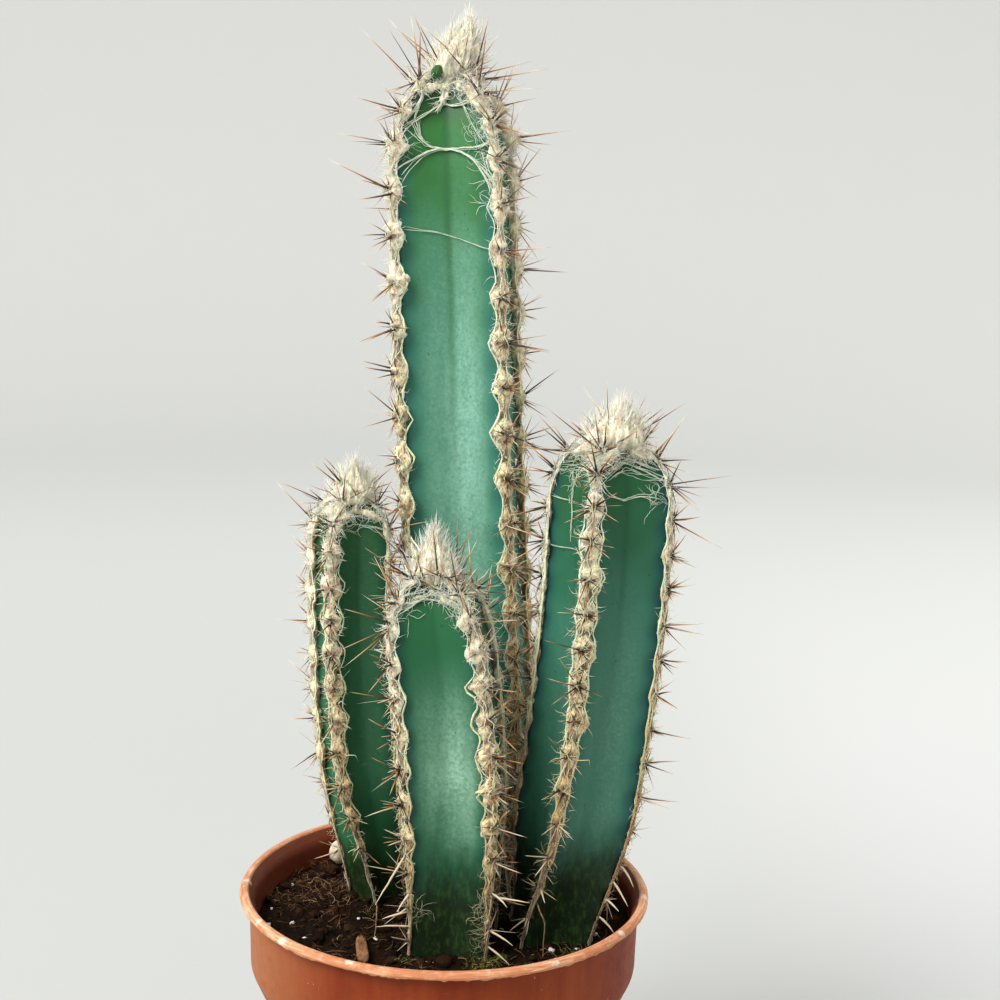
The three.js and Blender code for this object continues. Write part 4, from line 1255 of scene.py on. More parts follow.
def chipMesh():
    # a flat chip, split along the grain, with ragged ends
    chip, across, down = ground["chip"], 14, 30
    width, length, thickness = chip["size"]
    points, faces = [], []
    for side in (0, 1):
        for j in range(down + 1):
            for i in range(across + 1):
                u, v = i / across - 0.5, j / down - 0.5
                taper = math.sqrt(max(0.0, 1 - (2 * abs(v)) ** 4)) * (0.9 - 0.18 * v)
                ragged = 0.1 * noise.noise(Vector((u * 9, v * 2, 1.7))) * (abs(v) * 2) ** 3
                edge = max(1 - max(abs(u), abs(v)) ** 6 * 40, 0.0)
                ridge = 0.14 * noise.noise(Vector((u * 11, v * 1.6, side * 5)))
                half = 0.5 * edge ** 0.5
                points.append(Vector((u * width * taper, (v + ragged) * length,
                                      thickness * (0.5 + (half if side else -half) + ridge * edge))))
    row, layer = across + 1, (across + 1) * (down + 1)
    for j in range(down):
        for a in range(j * row, j * row + across):
            faces.append((a, a + row, a + row + 1, a + 1))
            faces.append((layer + a, layer + a + 1, layer + a + row + 1, layer + a + row))
    rim = ([*range(across)] + [across + j * row for j in range(down)]
           + [layer - 1 - i for i in range(across)] + [(down - j) * row for j in range(down)])
    faces += [(a, b, b + layer, a + layer) for a, b in zip(rim, rim[1:] + rim[:1])]
    turned = Matrix.Rotation(math.radians(chip["turn"]), 4, "Z")
    tipped = Matrix.Rotation(math.radians(chip["slope"]), 4, "X")
    pose = (Matrix.Translation((*chip["centre"], soilLevel + chip["rise"])) @ turned @ tipped
            @ Matrix.Translation((0, 0, 0.6)))
    return makeMesh("bark_chip_dressed", [pose @ p for p in points], faces)


def barkFinish(name, roughness, stretch, grain, stops, depth, strength):
    # colours and a relief that both follow the grain
    coat = Finish(name, Roughness=roughness, Specular_IOR_Level=0.2)
    lines = noiseNode(coat.stretched(*stretch), *grain)
    coat.connect("Base Color", coat.ramp(lines, stops))
    return coat.bump(lines, depth, strength)


soilPiece = addPiece("soil_top", soilMesh(), soilFinish("soil_peat", 0.0))
settle(soilPiece, "potting_soil", "soil")
strewSoil(soilPiece)
settle(addPiece("pebble_stone", pebbleMesh(), pebbleFinish()), "pebble_stone", "pebble")
chipCoat = barkFinish("bark_brown", 0.9, (1, 0.18, 1), (0.7, 4, 0.7), [
    (0.3, (78, 48, 30)), (0.55, (138, 98, 66)), (0.75, (178, 138, 100))], 0.2, 0.9)
settle(addPiece("bark_chip_dressed", chipMesh(), chipCoat), "bark", "bark_chip")


# What grows on the ribs. A core of felt runs up each rib, wide at the areoles and thin between them,
# and strands wrap it more loosely: both are half widths, at an areole and between two. The felt is
# pressed "flat" and bent "over" the rib, wears away at the "foot", and is thinner at the "crown".
# Spines come in a ring of slim ones, a few long ones in the middle and some pale bristles.

commonGrowth = {
    "shift": (0, 0, 0, 0), "crown": (0.5, 0.14), "clumps": 1.2, "flat": 0.52, "wrap": (2.5, 1.5),
    "ring": 10, "ringLength": (2.4, 8.4), "middle": 4, "middleLength": (4.5, 13.5), "bristles": 3,
    "fuzz": 0.74, "fuzzLength": (0.7, 2.7), "hairs": 8, "wisps": 10, "neckWisps": 8,
    "hairLength": (1.5, 3.4), "tongues": [], "spacing": 0.62, "grain": 0.9, "fuzzWidth": 0.09,
    "tuftFuzz": (0.3, (1.6, 3.6), 0.085), "bristlesLength": (4, 11)}
growth = {name: {**commonGrowth, **own} for name, own in {
    "tall": {
        "ribs": (1.16, 1.06, 1.4, 1), "shift": (0, 0, 0.4, 0), "core": (2.5, 0.9), "wrap": (2.6, 1.1),
        "flat": 0.66, "over": 0.12, "lift": 0.85, "shrink": 0.2, "foot": (-1, 18), "crown": (0.5, 0.08),
        "clumps": 1.35,
        "strands": [(-94, 0.26), (-60, 0.14), (-15, 0.13), (30, 0.14), (70, 0.15), (94, 0.26)],
        "ring": 11, "ringLength": (2.8, 9.0), "middleLength": (5, 14.5), "bristles": 4,
        "fuzzLength": (0.7, 2.9), "hairs": 10, "neckWisps": 6, "hairLength": (1.6, 3.6),
        "arch": (2.4, 6.5, 0.85),
        "tongues": [(0, [(0.48, 1.4, 1.3), (0.44, 4, 1.5), (0.42, 6.4, 1.1), (0.36, 8.8, 0.5)]),
                    (0, [(0.8, 2.4, 1.0), (0.9, 5.0, 1.3), (0.96, 8.5, 1.2), (1.0, 13, 0.6)])]},
    "left": {
        "ribs": (1.5, 1.25, 0.62, 1), "core": (2.3, 1.15), "over": 0.16, "lift": 0.2, "shrink": 0.4,
        "foot": (7, 36), "clumps": 1.1,
        "strands": [(-94, 0.24), (-50, 0.15), (0, 0.15), (50, 0.15), (94, 0.24)],
        "ringLength": (2.2, 7.2), "middle": 3, "middleLength": (4, 11.0), "bristles": 2,
        "fuzzLength": (0.7, 2.6), "hairLength": (1.5, 3.2), "arch": (3.2, 6.0, 1.1)},
    "front": {
        "ribs": (1, 1.3, 1, 1), "core": (2.35, 1.1), "over": 0.14, "lift": 0.3, "shrink": 0.3,
        "foot": (2, 30),
        "strands": [(-94, 0.28), (-50, 0.15), (0, 0.15), (50, 0.15), (94, 0.28)],
        "arch": (3.6, 7.4, 0.5)},
    "right": {
        "ribs": (0.8, 1, 0.72, 1), "core": (2.75, 1.6), "wrap": (2.9, 2.0), "flat": 0.4, "over": 0.13,
        "lift": 0.1, "shrink": 0.46, "foot": (2, 44), "crown": (0.3, 0.2), "clumps": 1.35,
        "strands": [(-94, 0.28), (-55, 0.16), (-18, 0.15), (18, 0.16), (55, 0.15), (94, 0.28)],
        "fuzz": 0.8, "fuzzLength": (0.8, 3.0), "arch": (2.2, 5.0, 1.3),
        "tongues": [(0, [(0.6, 1.6, 1.2), (0.8, 3.6, 1.5), (0.94, 6.0, 1.4), (1.0, 9.0, 0.8)])]},
}.items()}


def ribRoute(stem, places, spacing):
    # even steps up one rib's edge, each with its frame and how near it is to an areole
    rib, route, due = places[0]["rib"], [], 0.0
    areoles = [p for p in places if p["isAreole"]]
    necks = [p["point"] for p in places if not p["isAreole"]]
    for step in edgeSteps(stem, rib, soilLevel - 2.5, 900):
        if step["travelled"] < due:
            continue
        due, point = step["travelled"] + spacing, step["point"]
        nearest = min(areoles, key=lambda place: (point - place["point"]).length)
        toAreole = (point - nearest["point"]).length
        toNeck = min((point - place).length for place in necks)
        lobe = 0.5 + 0.5 * math.cos(math.pi * toAreole / (toAreole + toNeck))
        route.append({
            **step, "lobe": lobe, "heart": smoothstep(toAreole, 1.2, 0.5), "vary": nearest["vary"],
            "aside": nearest["aside"] * lobe + growth[stem["name"]]["shift"][rib]})
    return [step for step in route if step["fromTip"] > 1.2]


def feltRadius(name, step, layer):
    # the felt wears away towards the soil, and is drawn in under the flame
    habit = growth[name]
    worn = 1 - habit["shrink"] * smoothstep(step["age"], 0.35, 1.0)
    foot = lerp(0.16, 1, smoothstep(step["point"].z - soilLevel, *habit["foot"]))
    crown = lerp(habit["crown"][0], 1, smoothstep(step["age"], 0.0, habit["crown"][1]))
    width = lerp(habit[layer][1], habit[layer][0] * step["vary"], step["lobe"])
    return width * habit["ribs"][step["rib"]] * worn * foot * crown


def apronRoutes(name):
    # felt that arches over the top of each face, from rib to rib, and tongues of it that hang down
    stem, (middle, outer, width) = stems[name], growth[name]["arch"]
    top, sketches = stem["top"][2], list(growth[name]["tongues"])
    for face in range(ribCount):
        shares = [0.02 + 0.16 * k for k in range(7)]
        sketches.append((face, [(share, lerp(middle, outer, (2 * share - 1) ** 2),
                                 width * (1.25 if k % 2 else 0.6)) for k, share in enumerate(shares)]))
    routes = []
    for face, knots in sketches:
        route = []
        for share, depth, width in smoothLine(knots, 5):
            point = skinPoint(stem, face + share, top - depth, 0.2)
            out = (skinPoint(stem, face + share, top - depth, 1.4) - point).normalized()
            route.append({"point": point, "out": out, "width": width, "lobe": 0.22, "heart": 0.0})
        routes.append(route)
    return routes


def coreLines(name, routes):
    lift = growth[name]["lift"]
    return [[(step["point"] + step["out"] * lift + step["across"] * step["aside"],
              feltRadius(name, step, "core")) for step in route] for route in routes]


def strandLines(name, routes, draw):
    # matted threads that wander over the felt, the outer ones along its margins
    lines, habit = [], growth[name]
    for route in routes:
        for turn, width in habit["strands"]:
            shift, line = draw.random() * 40, []
            wander = 90 if abs(turn) < 80 else 30
            for step in route[::2]:
                travelled = step["travelled"]
                aside = wander * noise.noise(Vector((travelled * 0.33, shift, 0.5)))
                loose = 1.0 + 0.24 * noise.noise(Vector((travelled * 0.5, 3.3, shift)))
                wide, angle = feltRadius(name, step, "wrap") * loose, math.radians(turn + aside)
                sideways = wide * math.sin(angle)
                rise = wide * math.cos(angle) * habit["flat"] - habit["over"] * sideways ** 2
                raised = step["point"] + step["out"] * (rise + habit["lift"])
                line.append((raised + step["across"] * (step["aside"] + sideways),
                             width * lerp(0.3, 1, smoothstep(step["age"], 0.04, 0.3))))
            lines.append(line)
    return lines


def linesMesh(name, stem, lines, dimness=0.0, lumpiness=0.7, **more):
    # dimness greens a share of the lines, as old web is
    points, edges, thick, tones, dims = [], [], [], [], []
    for k, line in enumerate(lines):
        for i, (point, width) in enumerate(line):
            if i:
                edges.append((len(points) - 1, len(points)))
            points.append(point)
            ends = min(1.0, 0.35 + 0.3 * min(i, len(line) - 1 - i))
            lumpy = 1 + lumpiness * noise.noise(point * 0.7 + Vector((k * 3.1, 0, 0)))
            thick.append(width * mm * ends * lumpy)
            tones.append((k * 0.37) % 1.0)
            dims.append(dimness * ((k * 0.618) % 1.0))
    ages = [ageAt(stem, point.z) for point in points]
    return makeMesh(name, points, edges=edges,
                    attributes={"thick": thick, "age": ages, "tone": tones, "dim": dims, **more})


def growFelt(name, routes, seed):
    stem, habit, aprons = stems[name], growth[name], apronRoutes(name)
    lines = coreLines(name, routes)
    lines += [[(step["point"], step["width"]) for step in route] for route in aprons]
    steps = [step for route in routes + aprons for step in route]
    core = linesMesh("core_lines", stem, lines, 0.0, 0.35, out=[step["out"] for step in steps],
                     lobe=[step["lobe"] for step in steps], heart=[step["heart"] for step in steps])
    felt = felts.run("felt", core, wool, {"Sides": 16, "Clumps": habit["clumps"], "Grain": habit["grain"],
                                          "Flat": habit["flat"], "Wrap": habit["over"]})
    lines = linesMesh("strand_lines", stem, strandLines(name, routes, random.Random(seed)))
    return [felt, threads.run("strands", lines, wool, {"Sides": 3, "Jitter": 0.35})]


def growFuzz(mesh, seed, density, lengths, thickness):
    return fuzzes.run("fuzz", mesh.copy(), wool, {
        "Kinds": fuzzHairs, "Seed": seed, "Density": density, "Shortest": lengths[0],
        "Longest": lengths[1], "Thickness": thickness})


def growBristles(label, roots, coat, obstacles, kinds, seed, count, tilts, lengths, spread, clearance,
                 unevenness, thickness=None):
    # hairs widen with their length, and spines have a thickness of their own
    return bristles.run(label, roots, coat, {
        "Kinds": kinds, "Obstacles": obstacles, "Seed": seed, "Count": count, "Least Tilt": tilts[0],
        "Most Tilt": tilts[1], "Shortest": lengths[0], "Longest": lengths[1], "Root Spread": spread,
        "Clearance": clearance, "Unevenness": unevenness, "Thickness": thickness or 0.0,
        "Widening": 0.0 if thickness else 1.0})


def rootLift(name):
    habit = growth[name]
    return habit["lift"] + habit["core"][0] * habit["flat"] * 0.6


# how far each row of spines leans out of its areole, and how thick the spines are
spineRows = {"ring": ((38, 94), 0.155), "middle": ((6, 58), 0.24), "bristles": ((30, 88), 0.085)}


def growSpines(name, places, obstacles, seed):
    habit, lift = growth[name], rootLift(name)

    def size(place):
        return lerp(0.8, 1.0, place["vigour"]) * lerp(1.3, 0.9, smoothstep(place["age"], 0.02, 0.3))

    def fading(place):
        return {**place, "vigour": place["vigour"] * lerp(1, 0.25, smoothstep(place["age"], 0.6, 0.95))}

    def grow(label, roots, shift, row):
        tilts, thickness = spineRows[row]
        return growBristles(label, roots, spineCoat, obstacles, spineShapes, seed + shift, habit[row],
                            tilts, habit[row + "Length"], 1.3, 0.7, 0.85, thickness)

    places = [fading(place) for place in places]
    roots = placesMesh("spine_places", places, lift, size, None, 0.86)
    paleRoots = placesMesh("bristle_places", [{**p, "age": 1.5} for p in places], lift, size, None, 0.75)
    spines = [grow("spines_ring", roots, 0, "ring"), grow("spines_middle", roots.copy(), 40, "middle"),
              grow("bristles_pale", paleRoots, 60, "bristles")]
    return spines + ([growOldSpines(name)] if oldSpines.get(name) else [])


# Old pale spines near the soil, which the photo shows one by one: the root and the tip.
oldSpines = {
    "front": [((11.6, -23.8, 100.1), (16, -27.8, 97.8)), ((11.5, -23.8, 98.8), (21.5, -25.8, 98.3)),
              ((11.2, -23.6, 90.1), (17.7, -26.6, 87.4)), ((11.1, -23.6, 85.9), (16.9, -26.6, 82.4)),
              ((-7.8, -21.7, 98.5), (-10.9, -24.7, 94.6)), ((-7.6, -21.6, 93.5), (-14.6, -23.6, 92.1)),
              ((-7.5, -21.6, 89.3), (-16, -23.6, 90)), ((-8.8, -22, 109), (-16.3, -24, 95.9))],
    "right": [((43.9, -11.9, 103.2), (47.6, -13.4, 97.8)), ((42.4, -12.3, 99), (46.2, -15.4, 93.5)),
              ((40.7, -12.7, 94.2), (44, -15.6, 92.2)), ((39.1, -12.9, 89.7), (43, -15, 86.2))],
}


def growOldSpines(name):
    lines, steps = [], [i / 8 for i in range(9)]
    for k, (root, tip) in enumerate(oldSpines[name]):
        root, tip = Vector(root), Vector(tip)
        sag = Vector((0.25 - 0.15 * (k % 3), 0, 0.3 - 0.2 * (k % 2)))
        lines.append([(root.lerp(tip, s) + sag * (4 * s * (1 - s)), lerp(0.4, 0.14, s)) for s in steps])
    ages = [1.4] * (len(lines) * len(steps))
    mesh = linesMesh("old_lines", stems[name], lines, 0.0, 0.3, age=ages)
    return threads.run("old_spines", mesh, spineCoat, {"Sides": 5, "Jitter": 0.25})


def growHairs(name, places, obstacles, seed):
    habit, lift = growth[name], rootLift(name)
    spots = {"areole": [p for p in places if p["isAreole"]],
             "neck": [p for p in places if not p["isAreole"]]}
    roots = placesMesh("hair_places", spots["areole"], lift)
    parts = [growBristles("areole_hairs", roots, wool, obstacles, curlyHairs, seed + 11, habit["hairs"],
                          (25, 105), habit["hairLength"], 2.2, 0.2, 0.9)]
    for label, count in (("areole", habit["wisps"]), ("neck", habit["neckWisps"])):
        roots = placesMesh("wisp_places", spots[label], lift * 0.8)
        parts.append(growBristles(label + "_wisps", roots, wool, obstacles, thickHairs, seed + 13 + count,
                                  count, (58, 112), (1.6, 4.2), 2.4, 0.2, 0.9))
    return parts


def flameWidth(share):
    # widest low down, drawn in to a point
    return math.sin(math.pi * min(share + 0.04, 1.0) ** 0.75) ** 0.9 * (1.05 - 0.2 * share)


def flamePoint(stem, out, wide, share, risen):
    # a place in the flame, which leans more the higher it is
    tuft = stem["tuft"]
    point = Vector(stem["top"]) + out * wide
    point.x += tuft["lean"][0] * share ** 1.6
    point.y += tuft["lean"][1] * share ** 1.6
    point.z += -tuft["sink"] + risen
    return point


def softUp(out, weight):
    return (out + up * 0.9).normalized() * weight


def tuftPoints(stem, count, draw):
    # places through the flame, combed up to its tip
    tuft, spots = stem["tuft"], []
    for _ in range(count):
        share = draw.random() ** 1.1 * 0.88
        out = outward(draw.random() * 2 * math.pi)
        inner = 0.55 + 0.5 * math.sqrt(draw.random())
        ragged = 1 + 0.3 * noise.noise(Vector((out.x * 2, out.y * 2, share * 3 + stem["radius"])))
        wide = tuft["radius"] * flameWidth(share) * inner * ragged
        point = flamePoint(stem, out, wide, share, (tuft["height"] + tuft["sink"]) * share * 0.82)
        spots.append({"point": point, "out": out, "along": up, "share": share, "inner": inner,
                      "soft": softUp(out, 1.6), "age": 0.02 + 0.16 * (1 - share) * draw.random()})
    return spots


def collarPoints(stem, count, draw):
    # places round the flame's foot, on the skin near the tip
    top, spots = stem["top"][2], []
    for _ in range(count):
        below = 0.6 + stem["tuft"]["collar"] * 0.55 * draw.random() ** 1.4
        rib = draw.random() * ribCount
        point = skinPoint(stem, rib, top - below, 0.2)
        out = (outward(ribTurn(stem, rib, top)) + up * draw.uniform(0.4, 1.6)).normalized()
        spots.append({"point": point, "out": out, "along": out.orthogonal().normalized(), "age": 0.06,
                      "soft": softUp(out, 0.8)})
    return spots


def growTuft(name, obstacles, seed):
    stem, draw = stems[name], random.Random(seed)
    tuft, step = stem["tuft"], stem["areoleStep"]
    lean = Vector((*tuft["lean"], 0)) / tuft["height"]

    def comb(spot):
        gathered = up + lean * 1.3 - spot["out"] * (0.5 * spot["share"] - 0.25)
        return gathered * (1.0 + 1.4 * spot["share"])

    def grow(label, kinds, spots, combing, shift, tilts, lengths, count=1, coat=wool, clearance=0.3,
             **more):
        roots = placesMesh(label + "_places", spots, 0.0, None, combing)
        return growBristles(label, roots, coat, obstacles, kinds, seed + shift, count, tilts, lengths,
                            0.4, clearance, 0.4, **more)

    spots = tuftPoints(stem, tuft["hairs"], draw)
    inside = [s for s in spots if s["share"] < 0.7 and s["inner"] < 0.95][:tuft["locks"]]
    spineSpots = [s for s in spots if 0.1 < s["share"] < 0.6][:tuft["spines"]]
    collar = collarPoints(stem, tuft["collarHairs"], draw)
    hairs = [grow("tuft_hairs", combedHairs, spots, comb, 21, (15, 80), (2.4, 6.2)),
             grow("tuft_locks", lockShapes, inside, comb, 27, (5, 50), (2.8, 6.0)),
             grow("collar_hairs", curlyHairs, collar, None, 23, (30, 100), (2.0, 4.6), 2)]
    return hairs, grow("tuft_spines", spineShapes, spineSpots, lambda spot: up * 0.7, 31, (5, 70),
                       (0.8 * step, 1.7 * step), 1, spineCoat, 0.7, thickness=0.24)


def tuftCore(stem):
    # the felt inside the flame, hidden by its hairs
    tuft, around, rows = stem["tuft"], 132, 20
    points, outs, combs = [], [], []
    for row in range(rows + 1):
        share = row / rows
        wide = 0.86 * max(flameWidth(share), 0.0)
        for i in range(around):
            turn = fullTurn * i / around
            place = Vector((math.sin(turn) * 2.4, math.cos(turn) * 2.4, share * 1.2 + stem["radius"]))
            fine = Vector((place.x, place.y, place.z * 0.5)) * 2.9
            ridge = 1 + 0.24 * noise.noise(place) + 0.2 * noise.noise(place * 2.1)
            ridge += 0.26 * noise.noise(fine)
            spot = Vector((math.sin(turn) * 3, math.cos(turn) * 3, 7))
            ragged = 0.78 + 0.34 * noise.noise(spot) + 0.26 * noise.noise(spot * 2.6)
            risen = (tuft["height"] + tuft["sink"]) * lerp(0.82, ragged, share) * share
            points.append(flamePoint(stem, outward(turn), tuft["radius"] * wide * ridge, share, risen))
            outs.append(softUp(outward(turn), 1.0))
            combs.append(up * (1.7 + 0.8 * share) - outward(turn) * 0.3)
    mesh = makeMesh("tuft_core", points, ringFaces(rows + 1, around), attributes={
        "age": [0.04] * len(points), "out": outs, "soft": [out * 0.7 for out in outs], "comb": combs,
        "matted": [0.15] * len(points)})
    shape = bmesh.new()
    shape.from_mesh(mesh)
    bmesh.ops.remove_doubles(shape, verts=shape.verts, dist=0.01 * mm)
    shape.to_mesh(mesh)
    shape.free()
    return addPiece("tuft_core", mesh, wool)


# Webs: matted threads that cross a face from one rib edge to the next, and curls over the crowns.
# Each drawn web is its face, its strands, their width, and the places that it passes: how far
# across the face, and how far below the tip. Lace is a patch of loose threads: its face, how far
# across and below the tip it is, its radius and how many threads. Nest threads arch over each face.

commonWebs = {"drawn": [], "lace": [], "curls": 20, "reach": 6, "wide": (0.05, 0.1), "nest": 15, "dim": 0.7}
webs = {name: {**commonWebs, **own} for name, own in {
    "tall": {
        "drawn": [
            (0, 6, 0.13, [(0.02, 15.5), (0.12, 12.4), (0.3, 9.2), (0.44, 8.2), (0.62, 8.6), (0.8, 8.0),
                          (1.0, 6.0)]),
            (0, 6, 0.12, [(0.1, 13.2), (0.14, 15.4), (0.2, 17.4), (0.29, 18.8), (0.5, 19.2), (0.7, 19.0),
                          (0.89, 18.6), (1.0, 17.0)]),
            (0, 7, 0.13, [(0.0, 27.0), (0.12, 22.6), (0.29, 19.8), (0.5, 19.3), (0.7, 19.7), (0.84, 21.6),
                          (0.93, 25.0), (1.0, 29.0)]),
            (0, 2, 0.09, [(0.0, 39.0), (0.4, 40.2), (0.7, 41.4), (0.9, 43.2), (1.0, 43.6)]),
            (0, 9, 0.2, [(0.34, 1.2), (0.38, 3.4), (0.42, 5.8), (0.4, 8.2), (0.32, 9.4)]),
            (0, 8, 0.18, [(0.6, 1.0), (0.58, 2.8), (0.52, 5.0), (0.46, 7.0), (0.44, 8.6)]),
            (0, 6, 0.16, [(0.1, 1.6), (0.2, 2.6), (0.34, 3.2), (0.5, 3.4), (0.7, 3.0), (0.9, 2.4)]),
            (0, 6, 0.16, [(0.04, 3.2), (0.1, 6.0), (0.1, 9.0), (0.06, 12.0)]),
            (0, 3, 0.08, [(0.7, 5.0), (0.8, 9.0), (0.86, 13.4), (0.94, 18.0)]),
            (0, 2, 0.08, [(0.9, 19.0), (0.93, 24.0), (0.97, 30.0), (0.99, 36.0)])],
        "lace": [(0, 0.88, 17, 2.6, 24), (0, 0.94, 24, 2.4, 18), (0, 0.08, 19, 2.2, 14),
                 (0, 0.9, 12, 2.0, 12), (0, 0.96, 33, 2.0, 12)],
        "curls": 14, "wide": (0.06, 0.12), "nest": 4, "nestDepth": (0.8, 5.0), "nestArch": 0.8, "dim": 0.9},
    "left": {
        "wide": (0.05, 0.09), "nestDepth": (1.4, 8.5), "nestArch": 1.6},
    "front": {
        "drawn": [
            (0, 5, 0.11, [(0.0, 8.4), (0.16, 6.4), (0.34, 4.6), (0.6, 3.8), (0.84, 4.2), (1.0, 5.6)]),
            (0, 4, 0.1, [(0.04, 7.0), (0.3, 5.4), (0.52, 5.2), (0.8, 5.4), (1.0, 7.6)])],
        "lace": [(0, 0.12, 8.0, 2.0, 14), (0, 0.9, 8.0, 2.0, 14), (0, 0.97, 80, 2.2, 24),
                 (0, 0.97, 86, 2.8, 34), (0, 0.98, 91, 2.2, 20), (0, 0.08, 84, 2.2, 20)],
        "reach": 5, "nestDepth": (0.8, 6.0), "nestArch": 1.4},
    "right": {
        "drawn": [
            (1, 3, 0.09, [(0.05, 9.0), (0.16, 12.4), (0.4, 14.2), (0.7, 13.4), (0.9, 14.0)]),
            (1, 4, 0.1, [(0.0, 9.5), (0.2, 7.0), (0.5, 5.8), (0.8, 7.4), (1.0, 10.4)]),
            (0, 3, 0.1, [(0.6, 6.4), (0.36, 9.0), (0.3, 14.0), (0.34, 20.0), (0.3, 25.0)]),
            (0, 2, 0.08, [(0.0, 16.0), (0.5, 16.4), (1.0, 16.0)]),
            (0, 2, 0.07, [(0.0, 28.4), (0.5, 28.0), (1.0, 29.8)])],
        "lace": [(0, 0.3, 12, 2.4, 18), (1, 0.9, 14, 2.2, 16)],
        "curls": 30, "reach": 7, "nest": 24, "nestDepth": (1.4, 9.5), "nestArch": 2.4, "dim": 0.8},
}.items()}


def smoothLine(knots, steps):
    # a line through all knots, rounded between them
    result, last = [], len(knots) - 1
    for i in range(last):
        before, here, there, after = (Vector(knots[min(max(i + k, 0), last)]) for k in (-1, 0, 1, 2))
        for t in (k / steps for k in range(steps)):
            result.append(0.5 * (2 * here + (there - before) * t
                                 + (2 * before - 5 * here + 4 * there - after) * t * t
                                 + (3 * here - before - 3 * there + after) * t ** 3))
    return result + [Vector(knots[-1])]


def acrossFace(stem, z, distance):
    # a distance sideways on the skin, as a share of a face
    return 0.5 * distance / max(radiusAt(stem, z), 3.0) / quarter


def drawnWebs(stem, web, draw):
    # each web's strands run together half way and fan out to the wool at both ends
    lines, top = [], stem["top"][2]
    for face, strands, width, knots in web["drawn"]:
        route = smoothLine(knots, 6)
        for strand in range(strands):
            shift, aside = draw.uniform(-0.5, 0.5), draw.uniform(-0.05, 0.05)
            line, last = [], len(route) - 1
            for i, (share, depth) in enumerate(route):
                fan = 0.35 + 2.2 * abs(2 * i / last - 1) ** 3
                below = max(depth + shift * fan + 0.25 * noise.noise(Vector((i * 0.3, strand, shift))), 0.4)
                place = skinPoint(stem, face + share + aside * fan * 0.5, top - below, 0.2 + 0.1 * strand)
                line.append((place, width))
            lines.append(line)
    return lines


def looseThread(stem, rib, z, draw, steps, bendiness, lift, width):
    heading, bend = draw.uniform(0, 2 * math.pi), draw.uniform(-bendiness, bendiness)
    line = []
    for _ in range(steps):
        height = min(z, stem["top"][2] - 0.5)
        line.append((skinPoint(stem, rib, height, lift * (0.4 + draw.random())), width))
        heading += bend + draw.uniform(-0.35, 0.35)
        rib += acrossFace(stem, z, math.cos(heading))
        z += 0.55 * math.sin(heading)
    return line


def laceThread(stem, draw, face, share, depth, radius):
    turn, away = draw.random() * 2 * math.pi, radius * math.sqrt(draw.random())
    z = stem["top"][2] - depth + away * math.sin(turn)
    rib = face + share + acrossFace(stem, z, away * math.cos(turn))
    return looseThread(stem, rib, z, draw, draw.randrange(6, 13), 0.3, 0.35, draw.uniform(0.04, 0.075))


def nestThread(stem, web, draw, face):
    depth, width = draw.uniform(*web["nestDepth"]), draw.uniform(*web["wide"])
    ends = draw.uniform(-0.05, 0.25), draw.uniform(0.75, 1.05)
    slant, shift, rise = draw.uniform(-1.4, 1.4), draw.random() * 50, draw.uniform(0.2, 1.3)
    line = []
    for share in (lerp(*ends, i / 12) for i in range(13)):
        arch = web["nestArch"] * (1 - (2 * share - 1) ** 2) + slant * (share - 0.5)
        wander = 1.2 * noise.noise(Vector((share * 5, shift, 0.3)))
        z = stem["top"][2] - max(depth + web["nestArch"] * 0.5 - arch + wander, 0.4)
        line.append((skinPoint(stem, face + share, z, rise * (0.5 + abs(2 * share - 1))), width))
    return line


def curl(stem, web, draw):
    rib, depth = draw.uniform(0, ribCount), web["reach"] * draw.random() ** 1.6
    return looseThread(stem, rib, stem["top"][2] - depth - 0.6, draw, draw.randrange(7, 15), 0.5, 0.7,
                       draw.uniform(*web["wide"]))


def webLines(name, seed):
    stem, web, draw = stems[name], webs[name], random.Random(seed)
    lines = drawnWebs(stem, web, draw)
    lines += [laceThread(stem, draw, *patch) for *patch, count in web["lace"] for _ in range(count)]
    lines += [nestThread(stem, web, draw, face) for face in range(ribCount) for _ in range(web["nest"])]
    return lines + [curl(stem, web, draw) for _ in range(web["curls"])]


def growWebs(name, seed):
    lines = linesMesh("web_lines", stems[name], webLines(name, seed), webs[name]["dim"])
    return threads.run("webs", lines, wool, {"Sides": 3, "Jitter": 0.35})


def growPlant(name, seed):
    others = [piece for other, piece in bodies.items() if other != name]
    obstacles = mergedCopy("obstacles", others + [potPiece, soilPiece])
    ribs = [placesAlongRib(stems[name], rib) for rib in range(ribCount)]
    places = [place for rib in ribs for place in rib]
    areoles = [place for place in places if place["isAreole"]]
    habit = growth[name]
    routes = [ribRoute(stems[name], rib, habit["spacing"]) for rib in ribs]
    tuftParts, tuftSpines = growTuft(name, obstacles, seed)
    spines = joinPieces("spines_" + name, growSpines(name, areoles, obstacles, seed) + [tuftSpines])
    feltParts, core = growFelt(name, routes, seed), tuftCore(stems[name])
    fuzz = [growFuzz(feltParts[0].data, seed + 9, habit["fuzz"], habit["fuzzLength"], habit["fuzzWidth"]),
            growFuzz(core.data, seed + 19, *habit["tuftFuzz"])]
    felt = joinPieces("felt_" + name, feltParts + [core])
    hairs = joinPieces("hairs_" + name, growHairs(name, places, obstacles, seed)
                       + tuftParts + [growWebs(name, seed + 5)] + fuzz)
    settle(felt, "wool_and_spines", "wool_" + name)
    settle(hairs, "wool_and_spines")
    settle(spines, "wool_and_spines")
    bpy.data.objects.remove(obstacles)


for order, name in enumerate(stems):
    growPlant(name, 100 * order + 7)


# A small ribbed bud at the tall stem's tip, and dry twigs and roots on the soil.

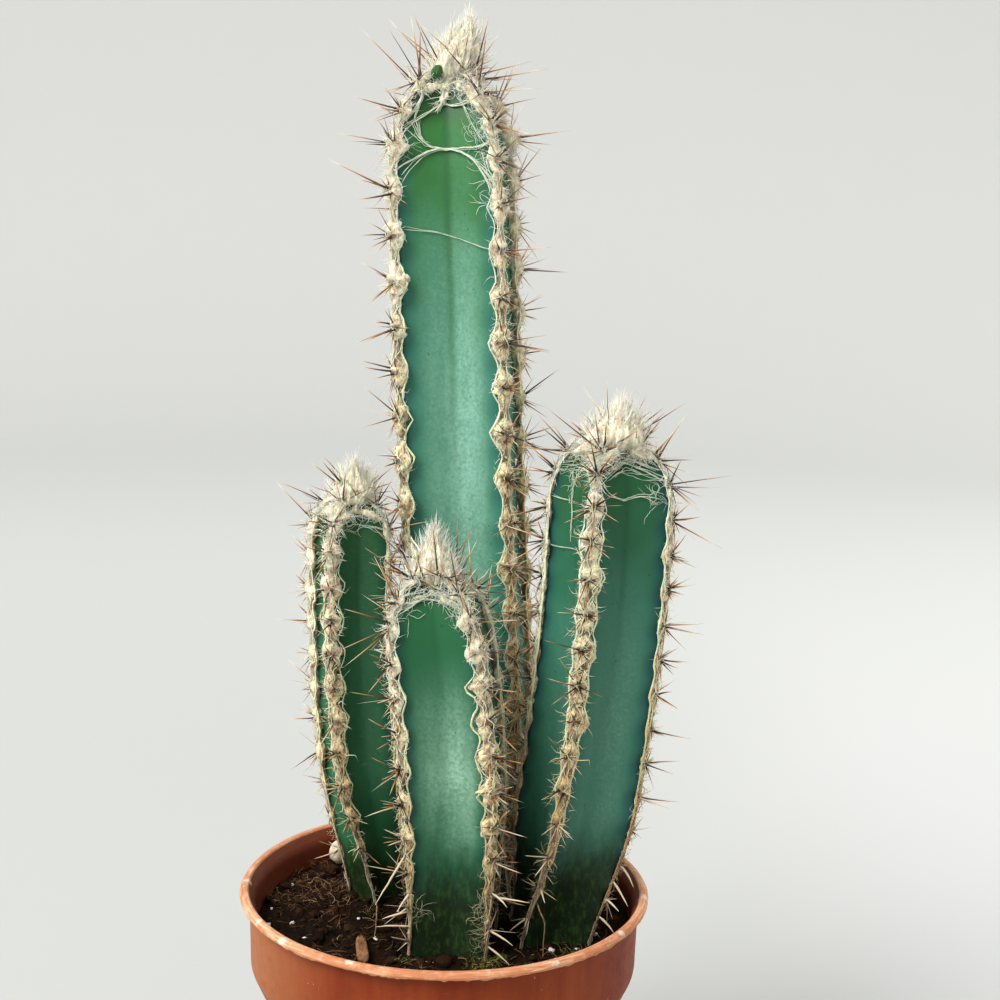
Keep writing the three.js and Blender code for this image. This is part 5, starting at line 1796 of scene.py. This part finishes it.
extras = {
    "bud": {"centre": (-7, 24.6, 296.6), "size": (1.35, 1.35, 1.8), "colour": (46, 108, 40)},
    "twigs": [
        ([(23.4, -20, 95.8), (24.6, -20.6, 93), (25.5, -21, 90.5), (25.3, -21, 86),
          (25.3, -21, 81.6)], 0.2),
        ([(-18.2, 3, 86.2), (-17.6, 1.4, 84.2), (-17.4, -2, 82.6), (-17.2, -7, 82.4),
          (-17.1, -12, 81.5)], 0.2),
        ([(-2, -33, 82.4), (3, -34.4, 83.4), (8, -33.6, 83), (12, -34.6, 82)], 0.3),
        ([(33, -27, 82.2), (36, -23, 83.6), (38.4, -18, 83), (40, -13, 82)], 0.24),
    ],
}


def budMesh():
    centre, size = Vector(extras["bud"]["centre"]), Vector(extras["bud"]["size"])

    def moved(co):
        turn = math.atan2(co.x, co.y)
        form = 1 + 0.09 * math.cos(5 * turn) * (1 - co.z ** 2) + 0.05 * noise.noise(co * 3)
        return (centre + (co * form * size + Vector((0.35 * co.z, 0, 0)))) * mm
    return ballMesh("crown_bud", 4, 1.0, moved)


def budFinish():
    coat = Finish("bud_green", Roughness=0.45, Specular_IOR_Level=0.3)
    cloud = noiseNode(coat.place, 1.1, 3)
    coat.connect("Base Color", coat.mix((26, 74, 26), extras["bud"]["colour"], remap(cloud, 0.35, 0.65)))
    return coat.bump(cloud, 0.08, 0.5)


settle(addPiece("crown_bud", budMesh(), budFinish()), "stem_skin_bright")
twigLines = [[(point, width * (1 - 0.3 * k / 24)) for k, point in enumerate(smoothLine(knots, 6))]
             for knots, width in extras["twigs"]]
twigMesh = linesMesh("twig_lines", stems["front"], twigLines, 0.0, 0.4)
twigCoat = barkFinish("twig_brown", 0.85, (1, 1, 0.3), (0.5, 3, 0.6), [
    (0.3, (78, 58, 40)), (0.52, (138, 110, 78)), (0.75, (186, 162, 124))], 0.1, 0.7)
settle(threads.run("soil_twigs", twigMesh, twigCoat, {"Sides": 7, "Jitter": 0.4}), "potting_soil")
print("cactus: bud and twigs")
